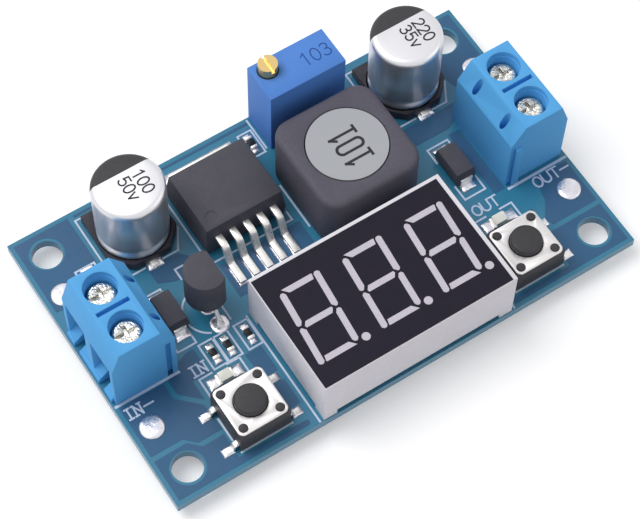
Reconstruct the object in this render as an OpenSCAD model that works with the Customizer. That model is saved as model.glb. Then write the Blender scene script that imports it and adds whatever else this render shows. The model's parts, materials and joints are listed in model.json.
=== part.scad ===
// Adjustable step-down converter board with a three-digit meter.
// Origin: centre of the four mounting holes, on the underside of the board.
// +X runs from the input end to the output end, +Y from the display edge to
// the back edge, +Z out of the component side.  All sizes in millimetres.

/* [Board] */
// Length of the circuit board, input end to output end
board_l = 57.4; // [56:0.2:80]
// Width of the circuit board, display edge to back edge
board_w = 35.4; // [35:0.2:50]
// Thickness of the circuit board
board_t = 1.2; // [0.8:0.1:2.4]
// Diameter of the four mounting holes
hole_d = 3.4; // [2.2:0.1:3.6]
// Mounting hole centre to the end edge
hole_inset_x = 3.1; // [2.6:0.1:3.3]
// Mounting hole centre to the side edge
hole_inset_y = 3.2; // [2.6:0.1:3.4]
// Thickness of the solder on the component side
pad_t = 0.1; // [0.05:0.01:0.2]
// How far cut leads stand below the board
stub = 1.6; // [1:0.1:3]
// Diameter of the four tinned wire pads
wire_pad_d = 2.7; // [1.5:0.1:3]

/* [Screw terminals] */
// Distance between the two poles
term_pitch = 5.08; // [4.8:0.02:7]
// Depth of the housing, wire side to board side
term_d = 7.7; // [7.4:0.1:9]
// Height of the housing
term_h = 10.4; // [9.6:0.1:12]
// End wall of the housing, beyond each pole's chamber
term_end_wall = 0.6; // [0.5:0.05:1.2]
// Width of the chamber that holds one cage
chamber_w = 3.9; // [3.7:0.05:4]
// Diameter of the screw well
well_d = 3.5; // [3.3:0.1:3.7]
// Diameter of the screw head
screw_head_d = 3; // [2.8:0.1:3.1]
// Diameter of the screw shank
screw_d = 2.4; // [2:0.1:2.5]
// Travel of the clamping cage
cage_travel = 1.8; // [1:0.1:1.8]

/* [Capacitors] */
// Diameter of both capacitor cans
can_d = 8; // [6.3:0.1:8.4]
// Height of the cans' tops above the board
can_h = 10.3; // [6:0.1:14]
// How far the plastic base stands out past the can
can_base_rim = 0.15; // [0.1:0.05:0.3]

/* [Inductor] */
// Width and depth of the inductor's shield
ind_w = 12.3; // [11:0.1:12.4]
// Height of the inductor
ind_h = 8; // [5:0.1:9]
// Diameter of the drum core inside the shield
drum_d = 8.9; // [7:0.1:9.2]
// Radius of the shield's upright edges
ind_r = 2.2; // [1:0.1:3]

/* [Regulator] */
// Width of the regulator's moulded body
reg_w = 10; // [9.6:0.1:10.4]
// Length of the moulded body
reg_l = 8.6; // [8:0.1:9]
// Height of the moulded body above the board
reg_h = 4.5; // [4:0.1:4.8]
// Distance between the regulator's five leads
reg_pitch = 1.7; // [1.6:0.05:1.75]

/* [Display] */
// Width of the display's shell
disp_w = 23.6; // [22.8:0.1:26]
// Depth of the display's shell
disp_d = 14.7; // [14:0.1:16]
// Height of the shell's top above the board
disp_h = 7.4; // [6:0.1:9]
// Height of the shell's four feet
disp_foot = 0.8; // [0.6:0.1:1.6]
// Distance between two digits
digit_pitch = 7.62; // [7:0.01:8]
// Height of a digit, between the middles of its top and bottom bars
digit_h = 8.6; // [7:0.1:9.2]
// Width of a digit, between the middles of its upright bars
digit_w = 4.3; // [4:0.05:4.6]
// Width of a digit's bars
bar_w = 0.7; // [0.6:0.05:0.9]
// Lean of the digits
digit_lean = 5; // [0:1:10]

/* [Buttons] */
// Width and depth of a button's base
btn_w = 6; // [6:0.1:7]
// Height of a button's base above the board
btn_h = 3.3; // [3:0.1:4]
// Diameter of a button's plunger
plunger_d = 3.5; // [3:0.1:3.7]
// How far the plunger stands out of the cover plate
plunger_proud = 0.8; // [0.5:0.1:4]
// Travel of the plunger
plunger_travel = 0.25; // [0.15:0.05:0.3]

/* [Trimmer] */
// Length of the trimmer's case
trim_l = 9.5; // [9.5:0.1:11]
// Depth of the trimmer's case
trim_d = 4.8; // [4.7:0.1:6]
// Height of the trimmer's case
trim_h = 10; // [9.6:0.1:12]
// Diameter of the adjusting screw's head
trim_head_d = 2.2; // [1.8:0.1:2.4]
// Height of the adjusting screw's head above the case
trim_head_h = 1.3; // [0.5:0.1:1.6]
// Number of teeth on the worm wheel
wheel_teeth = 30; // [24:1:32]
// Pitch radius of the worm wheel
wheel_r = 2.9; // [2.7:0.05:3]

/* [Hidden] */

// Overshoot of a cutting shape past the face it cuts.
cut = 0.1;

// ---- where the parts stand on the board ----
left = -board_l / 2;
right = board_l / 2;
front = -board_w / 2;
back = board_w / 2;

// Gap between a terminal's wire side and the board's end.
term_gap = 0.2;
term_x = right - term_gap - term_d / 2;
term_y = 0.4;

input_can_at = [left + 12.3, back - 5.8];
output_can_at = [right - 10.2, back - 5.7];
inductor_at = [6.3, 5];
regulator_at = [-6.25, back - 8.2];
supply_at = [left + 14.35, 0.1];
trimmer_at = [6.45, back - trim_d / 2 - 0.05];
display_at = [0.75, front + disp_d / 2 + 0.1];
input_button_at = [left + 11.6, front + btn_w / 2 + 1.65];
output_button_at = [right - 11.45, front + btn_w / 2 + 1.65];
lamp_ahead = 5;
input_lamp_at = input_button_at + [0, lamp_ahead];
output_lamp_at = output_button_at + [0.4, lamp_ahead];
input_diode_at = [left + 10.3, 1.1];
output_diode_at = [right - 11.4, 0];
chip_capacitor_at = [left + 5.7, back - 8.3];
resistor_row_y = input_lamp_at[1] + 3;
resistors_at = [
  [left + 11.95, resistor_row_y],
  [left + 13.75, resistor_row_y],
  [left + 16.25, resistor_row_y],
  [0.15, back - 3.2]
];
wire_pads_at = [
  [left + 2.3, front + 8.9], [left + 2.2, back - 8.3],
  [right - 2.3, front + 8.9], [right - 2.1, back - 8.1]
];

// ---- screw terminals, in the frame of one terminal: wire side towards -X ----
term_l = term_pitch + chamber_w + 2 * term_end_wall;
// The well stands off the housing's middle, towards the wire side.
well_x = -0.2;
wire_chamfer = [1.35, 3];
back_chamfer = [1.6, 2.6];
// Chamber floor is the board; its roof carries the screw's head.
chamber_h = 6.7;
ledge_t = 0.7;
chamber_front = 2.4;
chamber_back = 2.8;
head_h = 1.5;
shank_gap = 0.15;
cage_side_gap = 0.2;
cage_l = 3.4;
cage_wall = 0.5;
cage_floor = 0.6;
cage_roof = 0.9;
cage_rest = 0.45;
thread_gap = 0.05;
bar_t = 0.5;
bar_gap = 0.1;
pin_bar_w = 1.6;
pin_w = 1;
pin_t = 0.6;
pin_hole_d = 1.4;
cage_w = chamber_w - 2 * cage_side_gap;
cage_window = cage_travel + bar_t + bar_gap + 0.05;
cage_h = cage_floor + cage_window + cage_roof;
bar_top = cage_rest + cage_floor + cage_window - bar_gap;
shank_end = bar_top + 0.2;
pin_x = well_x + chamber_back - pin_t / 2;
groove_w = 0.55;
groove_depth = 0.5;
groove_x = term_d / 2 - 0.9;
// The wire side stands back above a low plinth, with a notch at each pole.
plinth_h = 0.9;
plinth_out = 0.3;
plinth_end = 0.5;
notch_w = 1.1;
sill_z = 0.9;
sill_inner_z = 1.7;
hood_z = 7;
// Counterbore at the mouth of each well.
mouth_d = well_d + 0.2;
mouth_depth = 0.7;
// Probe hole, straight down through the chamfer on the board side.
probe_l = 1.15;
probe_w = 0.8;
probe_depth = 4;

// ---- capacitors ----
can_seat = 0.6;
can_bead_z = 2.3;
can_bead_depth = 0.3;
can_shoulder = 0.7;
can_foot_r = 0.5;
// Height of the rolled groove's upper half.
can_roll = 0.52;
can_base_w = can_d + 2 * can_base_rim;
can_base_chamfer = 2;
can_lead_w = 0.9;
can_lead_t = 0.25;
can_lead_reach = can_base_w / 2 + 0.7;
can_lead_start = 0.9;

// ---- inductor ----
drum_gap = 0.12;
drum_flange = 1.3;
drum_post_d = 4.4;
winding_gap = 0.1;
ind_foot = 0.3;
ind_terminal_w = 5;
ind_terminal_t = 0.2;
ind_edge = 0.7;

// ---- regulator ----
reg_tab_w = 8.5;
reg_tab_t = 1.3;
reg_tab_out = 1.5;
reg_lead_w = 0.8;
reg_lead_t = 0.5;
reg_lead_out = 4.9;
reg_lead_z = 2.6;
reg_parting = 1.5;
reg_draft = 0.35;
reg_seat = 0.15;

// ---- three-lead meter supply ----
supply_r = 2.3;
supply_flat = 1.35;
supply_z = 3.1;
supply_h = 5;
supply_lead = 0.45;
supply_pad_d = 2.2;
lead_ring_gap = 0.02;
supply_pitch = 1.27;
supply_spread = 2.54;
lead_hole_d = 0.9;

// ---- diodes and chips ----
diode_w = 2.6;
diode_l = 4.3;
diode_h = 2.2;
diode_tab_w = 1.5;
diode_tab_t = 0.2;
diode_foot = 1.1;
resistor = [0.8, 1.6, 0.45];
capacitor = [1.25, 2, 0.9];
lamp = [2, 1.25, 0.8];
cap_skin = 0.03;
cap_len = 0.35;

// ---- display ----
disp_wall = 0.8;
reflector_t = 2.2;
film_t = 0.08;
// Left, right, front and back margin of the film.
film_margin = [0.12, 0.5, 0.12, 0.42];
disp_foot_size = [1.6, 1.7];
film_recess = 0.02;
disp_board_t = 1;
disp_board_gap = 0.1;
segment_gap = 0.02;
bar_gap_end = 0.14;
// Long slant of a top bar's end, and the short cuts at the other ends.
bar_slant = 0.8;
bar_tip = 0.4;
bar_nick = 0.1;
digit_x = -0.3;
digit_y = -0.15;
dot_d = 0.95;
dot_x = 2.85;
dot_y = -4.4;
disp_pin = 0.5;
disp_pin_pitch = 2.54;
disp_row = 10.16;
disp_pins_back = [0, 1, 2, 3, 4, 5];
disp_pins_front = [0, 1, 2, 3, 4];
chip_body = [6.5, 4.4, 0.85];
chip_lead_pitch = 0.65;
chip_lead_count = 10;

// ---- buttons ----
cover_t = 0.2;
cover_inset = 0.05;
cover_r = 0.6;
stake_at = 2.2;
stake_d = 0.8;
stake_head_d = 1.05;
stake_head_h = 0.2;
plunger_gap = 0.1;
flange_d = 4.1;
flange_t = 0.8;
cavity_d = 4.4;
cavity_floor = 1.2;
btn_stand = 0.3;
dome_d = 4;
// The dome snaps through a little before it is flat.
dome_rise = plunger_travel + 0.15;
dome_t = 0.1;
nub_d = 1.6;
leg_y = 2.25;
leg_w = 0.7;
leg_t = 0.2;
leg_reach = 4.5;
leg_z = 0.9;

// ---- trimmer ----
trim_wall = 0.45;
trim_roof = 1.1;
trim_screw_at = [1.75, 1.4];
trim_shaft_d = 1.5;
worm_core_d = 1.1;
tooth_out = 0.15;
tooth_in = 0.25;
worm_pitch_r = 0.8;
wheel_t = 0.9;
wheel_z = 5;
axle_d = 1.2;
axle_gap = 0.06;
ring_d = 0.45;
element = [7.8, 0.6, 7.4];
element_z = 1.2;
trim_pin = 0.5;
trim_pin_pitch = 2.54;
trim_base_t = 0.6;
trim_head_gap = 0.1;

// =====================================================================
// Shared shapes
// =====================================================================

// Points of an arc, from angle a0 to a1 in n steps.
function arc(c, r, a0, a1, n) = [for (i = [0:n]) c + r * [cos(a0 + (a1 - a0) * i / n), sin(a0 + (a1 - a0) * i / n)]];

// Side view of a lead bent down to a foot: it leaves at height drop, bends
// through the angle lean, and ends in a foot at height 0.
function bent_lead(out, drop, reach, t, r, lean) =
  let (slope = (drop - 2 * r * (1 - cos(lean))) / sin(lean))
  let (x2 = out + 2 * r * sin(lean) + slope * cos(lean))
  concat(
    [[0, drop + t / 2]],
    arc([out, drop - r], r + t / 2, 90, 90 - lean, 4),
    arc([x2, r], r - t / 2, 270 - lean, 270, 4),
    [[reach, t / 2], [reach, -t / 2]],
    arc([x2, r], r + t / 2, 270, 270 - lean, 4),
    arc([out, drop - r], r - t / 2, 90 - lean, 90, 4),
    [[0, drop - t / 2]]
  );

// A flat outline in X and Z, as thick as w along Y.
module slab_xz(points, w) {
  rotate([90, 0, 0])
    translate([0, 0, -w / 2])
      linear_extrude(w)
        polygon(points);
}

// A rectangle with round corners, made of true arcs.
module round_rect(w, d, r) {
  square([w - 2 * r, d], center = true);
  square([w, d - 2 * r], center = true);
  for (sx = [-1, 1], sy = [-1, 1])
    translate([sx * (w / 2 - r), sy * (d / 2 - r)])
      circle(r, $fn = 32);
}

// A box that stands on z = 0, centred in X and Y.
module block(w, d, h) {
  translate([-w / 2, -d / 2, 0])
    cube([w, d, h]);
}

// A moulded block whose sides draw in by draft, above and below a parting height.
module drafted(w, d, z0, parting, h, draft) {
  low = draft * (parting - z0) / (h - parting);
  hull() {
    translate([0, 0, parting])
      block(w, d, 0.01);
    translate([0, 0, h - 0.01])
      block(w - 2 * draft, d - 2 * draft, 0.01);
  }
  hull() {
    translate([0, 0, parting])
      block(w, d, 0.01);
    translate([0, 0, z0])
      block(w - 2 * low, d - 2 * low, 0.01);
  }
}

// Stands its children on the board's component side.
module at(place, angle = 0) {
  translate([place[0], place[1], board_t])
    rotate(angle)
      children();
}

// The two terminals: end is -1 for the input, 1 for the output.
module at_terminal(end) {
  at([end * term_x, term_y], end < 0 ? 0 : 180)
    children();
}

// One pole of a terminal: side is -1 for the negative pole, 1 for the positive.
module at_pole(end, side) {
  at_terminal(end)
    translate([0, -end * side * term_pitch / 2, 0])
      children();
}

// =====================================================================
// Board and solder
// =====================================================================

// Places of the leads that pass through the board, as [x, y, hole diameter, lead width].
terminal_leads = [for (end = [-1, 1], side = [-1, 1])
  [end * (term_x - pin_x), term_y + side * term_pitch / 2, pin_hole_d, pin_w]];
display_leads = concat(
  [for (i = disp_pins_back) display_at + [(i - 2.5) * disp_pin_pitch, disp_row / 2]],
  [for (i = disp_pins_front) display_at + [(i - 2.5) * disp_pin_pitch, -disp_row / 2]]);
supply_leads_at = [for (i = [-1:1]) supply_at + [0, i * supply_spread]];
trimmer_leads = [for (i = [-1:1]) trimmer_at + [i * trim_pin_pitch, -trim_d / 4]];

module circuit_board() {
  color("teal")
    difference() {
      translate([left, front, 0])
        cube([board_l, board_w, board_t]);
      for (sx = [-1, 1], sy = [-1, 1])
        translate([sx * (right - hole_inset_x), sy * (back - hole_inset_y), -cut])
          cylinder(d = hole_d, h = board_t + 2 * cut, $fn = 64);
      for (p = terminal_leads)
        drill(p, pin_hole_d);
      for (p = display_leads)
        drill(p, lead_hole_d);
      for (p = supply_leads_at)
        drill(p, lead_hole_d);
      for (p = trimmer_leads)
        drill(p, lead_hole_d);
    }
}

module drill(p, d) {
  translate([p[0], p[1], -cut])
    cylinder(d = d, h = board_t + 2 * cut, $fn = 32);
}

// Flat tinned pads under every surface-mounted lead, and four domed wire pads.
module solder_pads() {
  color("silver") {
    for (p = wire_pads_at)
      at(p)
        cylinder(d1 = wire_pad_d, d2 = wire_pad_d - 0.4, h = 2 * pad_t, $fn = 48);
    for (p = [input_can_at, output_can_at], s = [-1, 1])
      at(p)
        translate([0, s * (can_lead_reach - 1.1), 0])
          block(1.9, 2.6, pad_t);
    at(regulator_at) {
      translate([0, 2, 0])
        block(reg_tab_w + 0.6, reg_l + 0.6, pad_t);
      for (i = [-2:2])
        translate([i * reg_pitch, -reg_l / 2 - reg_lead_out + 1.1, 0])
          block(reg_lead_w + 0.3, 2.6, pad_t);
    }
    for (s = [-1, 1])
      at(inductor_at)
        translate([0, s * (ind_w / 2 - 1), 0])
          block(ind_terminal_w + 0.4, 2.6, pad_t);
    for (p = [input_diode_at, output_diode_at], s = [-1, 1])
      at(p)
        translate([0, s * 2.25, 0])
          block(1.8, 1.7, pad_t);
    for (p = supply_leads_at)
      at(p)
        difference() {
          cylinder(d = supply_pad_d, h = pad_t, $fn = 48);
          translate([0, 0, -cut])
            block(supply_lead + lead_ring_gap, supply_lead + lead_ring_gap, pad_t + 2 * cut);
        }
    for (p = resistors_at, s = [-1, 1])
      at(p)
        translate([0, s * 0.85, 0])
          block(0.9, 0.9, pad_t);
    for (s = [-1, 1])
      at(chip_capacitor_at)
        translate([0, s * 1.05, 0])
          block(1.4, 1.1, pad_t);
    for (p = [input_lamp_at, output_lamp_at], s = [-1, 1])
      at(p)
        translate([s * 1.35, 0, 0])
          block(1.5, 1.4, pad_t);
    for (p = [input_button_at, output_button_at], sx = [-1, 1], sy = [-1, 1])
      at(p)
        translate([sx * (leg_reach - 0.35), sy * leg_y, 0])
          block(1.3, 1, pad_t);
    for (s = [-1, 1], i = [0:chip_lead_count - 1])
      at(display_at)
        translate([(i - (chip_lead_count - 1) / 2) * chip_lead_pitch, s * 2.95, 0])
          block(0.4, 1.1, pad_t);
  }
}

// Solder cones round the cut leads below the board.
module solder_joints() {
  color("silver") {
    for (p = terminal_leads)
      joint_cone(p, 2.2, 1.3, [pin_t, pin_w]);
    for (p = display_leads)
      joint_cone(p, 1.5, 0.8, [disp_pin, disp_pin]);
    for (p = supply_leads_at)
      joint_cone(p, 1.5, 0.8, [supply_lead, supply_lead]);
    for (p = trimmer_leads)
      joint_cone(p, 1.5, 0.8, [trim_pin, trim_pin]);
  }
}

module joint_cone(p, d_board, d_tip, lead) {
  h = stub - 0.4;
  translate([p[0], p[1], -h])
    difference() {
      cylinder(d1 = d_tip, d2 = d_board, h = h, $fn = 32);
      translate([-lead[0] / 2, -lead[1] / 2, -cut])
        cube([lead[0], lead[1], h + 2 * cut]);
    }
}

// =====================================================================
// Screw terminals
// =====================================================================

module terminal_housing() {
  hd = term_d / 2;
  face = hd - plinth_out;
  difference() {
    union() {
      slab_xz([
        [-face, 0], [-face, term_h - wire_chamfer[1]], [-hd + wire_chamfer[0], term_h],
        [hd - back_chamfer[0], term_h], [hd, term_h - back_chamfer[1]], [hd, 0]
      ], term_l);
      slab_xz([[-hd, 0], [-hd, plinth_h - 0.2], [-hd + 0.2, plinth_h], [-face + cut, plinth_h], [-face + cut, 0]],
        term_l - 2 * plinth_end);
      // Dovetail rib on one end face, for joining housings side by side.
      translate([groove_x, term_l / 2, 0])
        linear_extrude(term_h - back_chamfer[1] - 0.6)
          polygon([[-0.25, -cut], [0.25, -cut], [0.45, groove_depth - 0.1], [-0.45, groove_depth - 0.1]]);
    }
    for (side = [-1, 1])
      translate([well_x, side * term_pitch / 2, 0])
        pole_cuts();
    // Matching groove on the other end face.
    translate([groove_x, -term_l / 2, -cut])
      linear_extrude(term_h - back_chamfer[1] - 0.4)
        polygon([[-groove_w / 2, -cut], [groove_w / 2, -cut], [groove_w / 2 + 0.2, groove_depth],
          [-groove_w / 2 - 0.2, groove_depth]]);
    // Dividing slot between the two wells.
    translate([well_x - 1.9, -0.25, term_h - 0.8])
      cube([3.8, 0.5, 0.8 + cut]);
  }
}

// Everything cut out of the housing for one pole, about the screw's axis.
module pole_cuts() {
  hd = term_d / 2;
  roof = chamber_h;
  // Screw well with its counterbore, and the hole in its ledge.
  translate([0, 0, roof + ledge_t])
    cylinder(d = well_d, h = term_h, $fn = 64);
  translate([0, 0, term_h - mouth_depth])
    cylinder(d = mouth_d, h = mouth_depth + cut, $fn = 64);
  translate([0, 0, roof - cut])
    cylinder(d = screw_d + 2 * shank_gap, h = ledge_t + 2 * cut, $fn = 48);
  // Cage chamber, open to the board.
  translate([-chamber_front, -chamber_w / 2, -cut])
    cube([chamber_front + chamber_back, chamber_w, roof + cut]);
  // Wire entry: a hooded mouth that narrows to the cage, over a rising sill.
  slab_xz([
    [-hd - well_x - cut, sill_z], [-hd - well_x - cut, hood_z], [-hd - well_x + 0.6, hood_z],
    [-chamber_front - 0.1, 4.6], [-chamber_front + cut, 4.6], [-chamber_front + cut, sill_inner_z],
    [-chamber_front - 0.1, sill_inner_z], [-hd - well_x + plinth_out, sill_z]
  ], chamber_w);
  // Notch through the sill and the plinth.
  translate([-hd - well_x - cut, -notch_w / 2, -cut])
    cube([hd + well_x - chamber_front + 2 * cut, notch_w, sill_inner_z + 2 * cut]);
  // Oval probe hole.
  translate([hd - well_x - back_chamfer[0] / 2, 0, term_h - probe_depth])
    linear_extrude(probe_depth + cut) {
      square([probe_l - probe_w, probe_w], center = true);
      for (s = [-1, 1])
        translate([s * (probe_l - probe_w) / 2, 0])
          circle(d = probe_w, $fn = 24);
    }
}

module input_terminal_housing() {
  color("dodgerblue")
    at_terminal(-1)
      terminal_housing();
}

module output_terminal_housing() {
  color("dodgerblue")
    at_terminal(1)
      terminal_housing();
}

// Headed clamping screw that turns in its well without rising.
module terminal_screw() {
  color("silver")
    translate([well_x, 0, 0])
      difference() {
        union() {
          translate([0, 0, shank_end])
            cylinder(d = screw_d, h = chamber_h + ledge_t - shank_end + cut, $fn = 48);
          translate([0, 0, chamber_h + ledge_t])
            cylinder(d = screw_head_d, h = head_h - 0.2, $fn = 64);
          translate([0, 0, chamber_h + ledge_t + head_h - 0.2])
            cylinder(d1 = screw_head_d, d2 = screw_head_d - 0.4, h = 0.2, $fn = 64);
        }
        for (a = [0, 90])
          rotate(a)
            translate([-0.9, -0.22, chamber_h + ledge_t + head_h - 0.8])
              cube([1.8, 0.44, 0.8 + cut]);
        translate([-screw_head_d / 2 - cut, -0.2, chamber_h + ledge_t + head_h - 0.35])
          cube([screw_head_d + 2 * cut, 0.4, 0.35 + cut]);
      }
}

// Rising cage: a square loop with a threaded roof, open along the wire.
module terminal_cage() {
  color("gainsboro")
    translate([well_x, 0, cage_rest])
      difference() {
        block(cage_l, cage_w, cage_h);
        translate([0, 0, cage_floor])
          block(cage_l + 2 * cut, cage_w - 2 * cage_wall, cage_window);
        translate([0, 0, cage_h - cage_roof - cut])
          cylinder(d = screw_d + 2 * thread_gap, h = cage_roof + 2 * cut, $fn = 48);
      }
}

// Contact bar through the cage, with a leg down through the board.
module terminal_pin() {
  translate([pin_x + pin_t / 2 - chamber_back - 1.4, -pin_bar_w / 2, bar_top - bar_t])
    cube([chamber_back + 1.4, pin_bar_w, bar_t]);
  translate([pin_x - pin_t / 2, -pin_w / 2, -board_t - stub])
    cube([pin_t, pin_w, board_t + stub + bar_top - bar_t / 2]);
}

module input_negative_screw() { at_pole(-1, -1) terminal_screw(); }
module input_positive_screw() { at_pole(-1, 1) terminal_screw(); }
module output_negative_screw() { at_pole(1, -1) terminal_screw(); }
module output_positive_screw() { at_pole(1, 1) terminal_screw(); }

module input_negative_cage() { at_pole(-1, -1) terminal_cage(); }
module input_positive_cage() { at_pole(-1, 1) terminal_cage(); }
module output_negative_cage() { at_pole(1, -1) terminal_cage(); }
module output_positive_cage() { at_pole(1, 1) terminal_cage(); }

module terminal_pins() {
  color("gainsboro")
    for (end = [-1, 1], side = [-1, 1])
      at_pole(end, side)
        terminal_pin();
}

// =====================================================================
// Capacitors
// =====================================================================

// Sealed can: a rolled groove above its flared foot, and a soft shoulder.
module capacitor_can() {
  r = can_d / 2;
  foot_top = can_seat + 2 * can_foot_r;
  color("lightgray")
    rotate_extrude($fn = 96)
      polygon(concat(
        [[0, can_seat]],
        arc([r - can_foot_r, can_seat + can_foot_r], can_foot_r, -90, -15, 4),
        [[r, can_seat + 1.5 * can_foot_r]],
        [for (i = [0:5]) [r - can_bead_depth * (1 - cos(i * 36)) / 2,
          foot_top + (can_bead_z - foot_top) * i / 5]],
        [for (i = [1:4]) [r - can_bead_depth * cos(i * 22.5), can_bead_z + can_roll * i / 4]],
        arc([r - can_shoulder, can_h - can_shoulder], can_shoulder, 0, 90, 5),
        [[0, can_h]]
      ));
}

// Moulded base: two corners cut, a seat for the can and two lead grooves.
module capacitor_base() {
  h = can_base_w / 2;
  c = can_base_chamfer;
  color("dimgray")
    difference() {
      translate([0, 0, pad_t])
        linear_extrude(can_seat + 0.7 - pad_t)
          polygon([[-h, h], [-h, -h + c], [-h + c, -h], [h - c, -h], [h, -h + c], [h, h]]);
      translate([0, 0, can_seat])
        cylinder(d = can_d + 0.04, h = 3, $fn = 96);
      for (s = [-1, 1])
        translate([0, s * (can_lead_start + h + 1) / 2 + s * can_lead_start / 2, pad_t - cut])
          block(can_lead_w, h + 1, can_lead_t + cut);
    }
}

module capacitor_lead_pair() {
  len = can_lead_reach - can_lead_start;
  for (s = [-1, 1])
    translate([0, s * (can_lead_start + len / 2), pad_t])
      block(can_lead_w, len, can_lead_t);
}

module input_capacitor_can() { at(input_can_at) capacitor_can(); }
module input_capacitor_base() { at(input_can_at) capacitor_base(); }
module output_capacitor_can() { at(output_can_at) capacitor_can(); }
module output_capacitor_base() { at(output_can_at) capacitor_base(); }

module capacitor_leads() {
  color("silver")
    for (p = [input_can_at, output_can_at])
      at(p)
        capacitor_lead_pair();
}

// =====================================================================
// Inductor
// =====================================================================

// Ferrite shield with rounded edges and a round bore for the drum.
module inductor_shield() {
  r = ind_r;
  w = ind_w / 2 - r;
  color("darkslategray")
    at(inductor_at)
      difference() {
        hull()
          for (sx = [-1, 1], sy = [-1, 1])
            translate([sx * w, sy * w, 0])
              rotate_extrude($fn = 32)
                polygon(concat(
                  [[0, ind_foot], [r, ind_foot]],
                  arc([r - ind_edge, ind_h - ind_edge], ind_edge, 0, 90, 4),
                  [[0, ind_h]]
                ));
        translate([0, 0, ind_foot - cut])
          cylinder(d = drum_d + 2 * drum_gap, h = ind_h, $fn = 96);
        for (s = [-1, 1])
          translate([0, s * (ind_w / 2), ind_foot - cut])
            block(ind_terminal_w + 0.2, 2 * ind_terminal_t + 0.4, 1.6);
      }
}

// Drum core: two flanges on a post.
module inductor_core() {
  color("slategray")
    at(inductor_at)
      rotate_extrude($fn = 96)
        polygon([
          [0, ind_foot], [drum_d / 2, ind_foot], [drum_d / 2, ind_foot + drum_flange],
          [drum_post_d / 2, ind_foot + drum_flange], [drum_post_d / 2, ind_h - drum_flange],
          [drum_d / 2, ind_h - drum_flange], [drum_d / 2, ind_h], [0, ind_h]
        ]);
}

module inductor_winding() {
  color("peru")
    at(inductor_at)
      translate([0, 0, ind_foot + drum_flange + winding_gap / 2])
        difference() {
          cylinder(d = drum_d - 0.4, h = ind_h - ind_foot - 2 * drum_flange - winding_gap, $fn = 64);
          translate([0, 0, -cut])
            cylinder(d = drum_post_d + winding_gap, h = ind_h, $fn = 64);
        }
}

// Two base clips, folded up against the front and back of the shield.
module inductor_terminals() {
  color("silver")
    at(inductor_at)
      for (s = [0, 180])
        rotate(s) {
          translate([0, ind_w / 2 - 1.3, pad_t])
            block(ind_terminal_w, 2.4, ind_foot - pad_t);
          translate([0, ind_w / 2 - ind_terminal_t / 2 - 0.1, pad_t])
            block(ind_terminal_w, ind_terminal_t, 1.3);
        }
}

// =====================================================================
// Regulator
// =====================================================================

module regulator_body() {
  color("darkslategray")
    at(regulator_at)
      difference() {
        drafted(reg_w, reg_l, reg_seat, reg_parting, reg_h, reg_draft);
        translate([0, reg_l / 2 - 3.4, reg_seat - cut])
          block(reg_tab_w + 0.02, 7, reg_tab_t + cut - reg_seat + pad_t);
        for (i = [-2:2])
          translate([i * reg_pitch, -reg_l / 2, reg_lead_z - reg_lead_t / 2])
            block(reg_lead_w, 2, reg_lead_t);
        // Mould mark beside the first lead.
        translate([-reg_w / 2 + 1.7, -reg_l / 2 + 1.7, reg_h - 0.12])
          cylinder(d = 1.3, h = 1, $fn = 32);
      }
}

// Heat slug: flush under the body, standing out behind it.
module regulator_tab() {
  color("silver")
    at(regulator_at)
      translate([0, 0, pad_t])
        linear_extrude(reg_tab_t)
          polygon([
            [-reg_tab_w / 2, reg_l / 2 - 6.9], [reg_tab_w / 2, reg_l / 2 - 6.9],
            [reg_tab_w / 2, reg_l / 2 + reg_tab_out - 0.6], [reg_tab_w / 2 - 0.6, reg_l / 2 + reg_tab_out],
            [-reg_tab_w / 2 + 0.6, reg_l / 2 + reg_tab_out], [-reg_tab_w / 2, reg_l / 2 + reg_tab_out - 0.6]
          ]);
}

module regulator_leads() {
  z = reg_lead_t / 2 + pad_t;
  color("silver")
    at(regulator_at)
      for (i = [-2:2])
        translate([i * reg_pitch, -reg_l / 2 + 1, z])
          rotate(-90)
            slab_xz(bent_lead(1.9, reg_lead_z - z, reg_lead_out + 1, reg_lead_t, 0.6, 68), reg_lead_w);
}

// =====================================================================
// Meter supply, diodes and chips
// =====================================================================

// Round-backed three-lead body, flat side towards the output.
module meter_supply_body() {
  color("darkslategray")
    at(supply_at)
      translate([0, 0, supply_z])
        linear_extrude(supply_h)
          intersection() {
            circle(supply_r, $fn = 64);
            translate([-3 * supply_r + supply_flat, -2 * supply_r])
              square([3 * supply_r, 4 * supply_r]);
          }
}

// The outer leads are spread before they enter the board.
module meter_supply_leads() {
  t = supply_lead;
  color("silver")
    for (i = [-1:1])
      at(supply_at)
        rotate(90)
          slab_xz([
            [i * supply_pitch - t / 2, supply_z], [i * supply_pitch + t / 2, supply_z],
            [i * supply_pitch + t / 2, supply_z - 0.5],
            [i * supply_spread + t / 2, 1], [i * supply_spread + t / 2, -board_t - stub],
            [i * supply_spread - t / 2, -board_t - stub], [i * supply_spread - t / 2, 1],
            [i * supply_pitch - t / 2, supply_z - 0.5]
          ], t);
}

module diode_body() {
  drafted(diode_w, diode_l, pad_t + diode_tab_t, diode_h / 2, diode_h, 0.2);
}

module diode_tab_pair() {
  mid = diode_h / 2;
  l = diode_l / 2;
  for (s = [0, 180])
    rotate(s) {
      translate([0, l + diode_tab_t / 2, pad_t])
        block(diode_tab_w, diode_tab_t, mid - pad_t + 0.1);
      translate([0, l + diode_tab_t - diode_foot / 2, pad_t])
        block(diode_tab_w, diode_foot, diode_tab_t);
    }
}

module input_diode_body() { color("dimgray") at(input_diode_at) diode_body(); }
module output_diode_body() { color("dimgray") at(output_diode_at) diode_body(); }

module diode_tabs() {
  color("silver")
    for (p = [input_diode_at, output_diode_at])
      at(p)
        diode_tab_pair();
}

// The body of a chip, between its two end caps along Y.
module chip_body_y(size) {
  translate([0, 0, pad_t + cap_skin])
    block(size[0] - 2 * cap_skin, size[1] - 2 * cap_len, size[2] - 2 * cap_skin);
}

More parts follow.
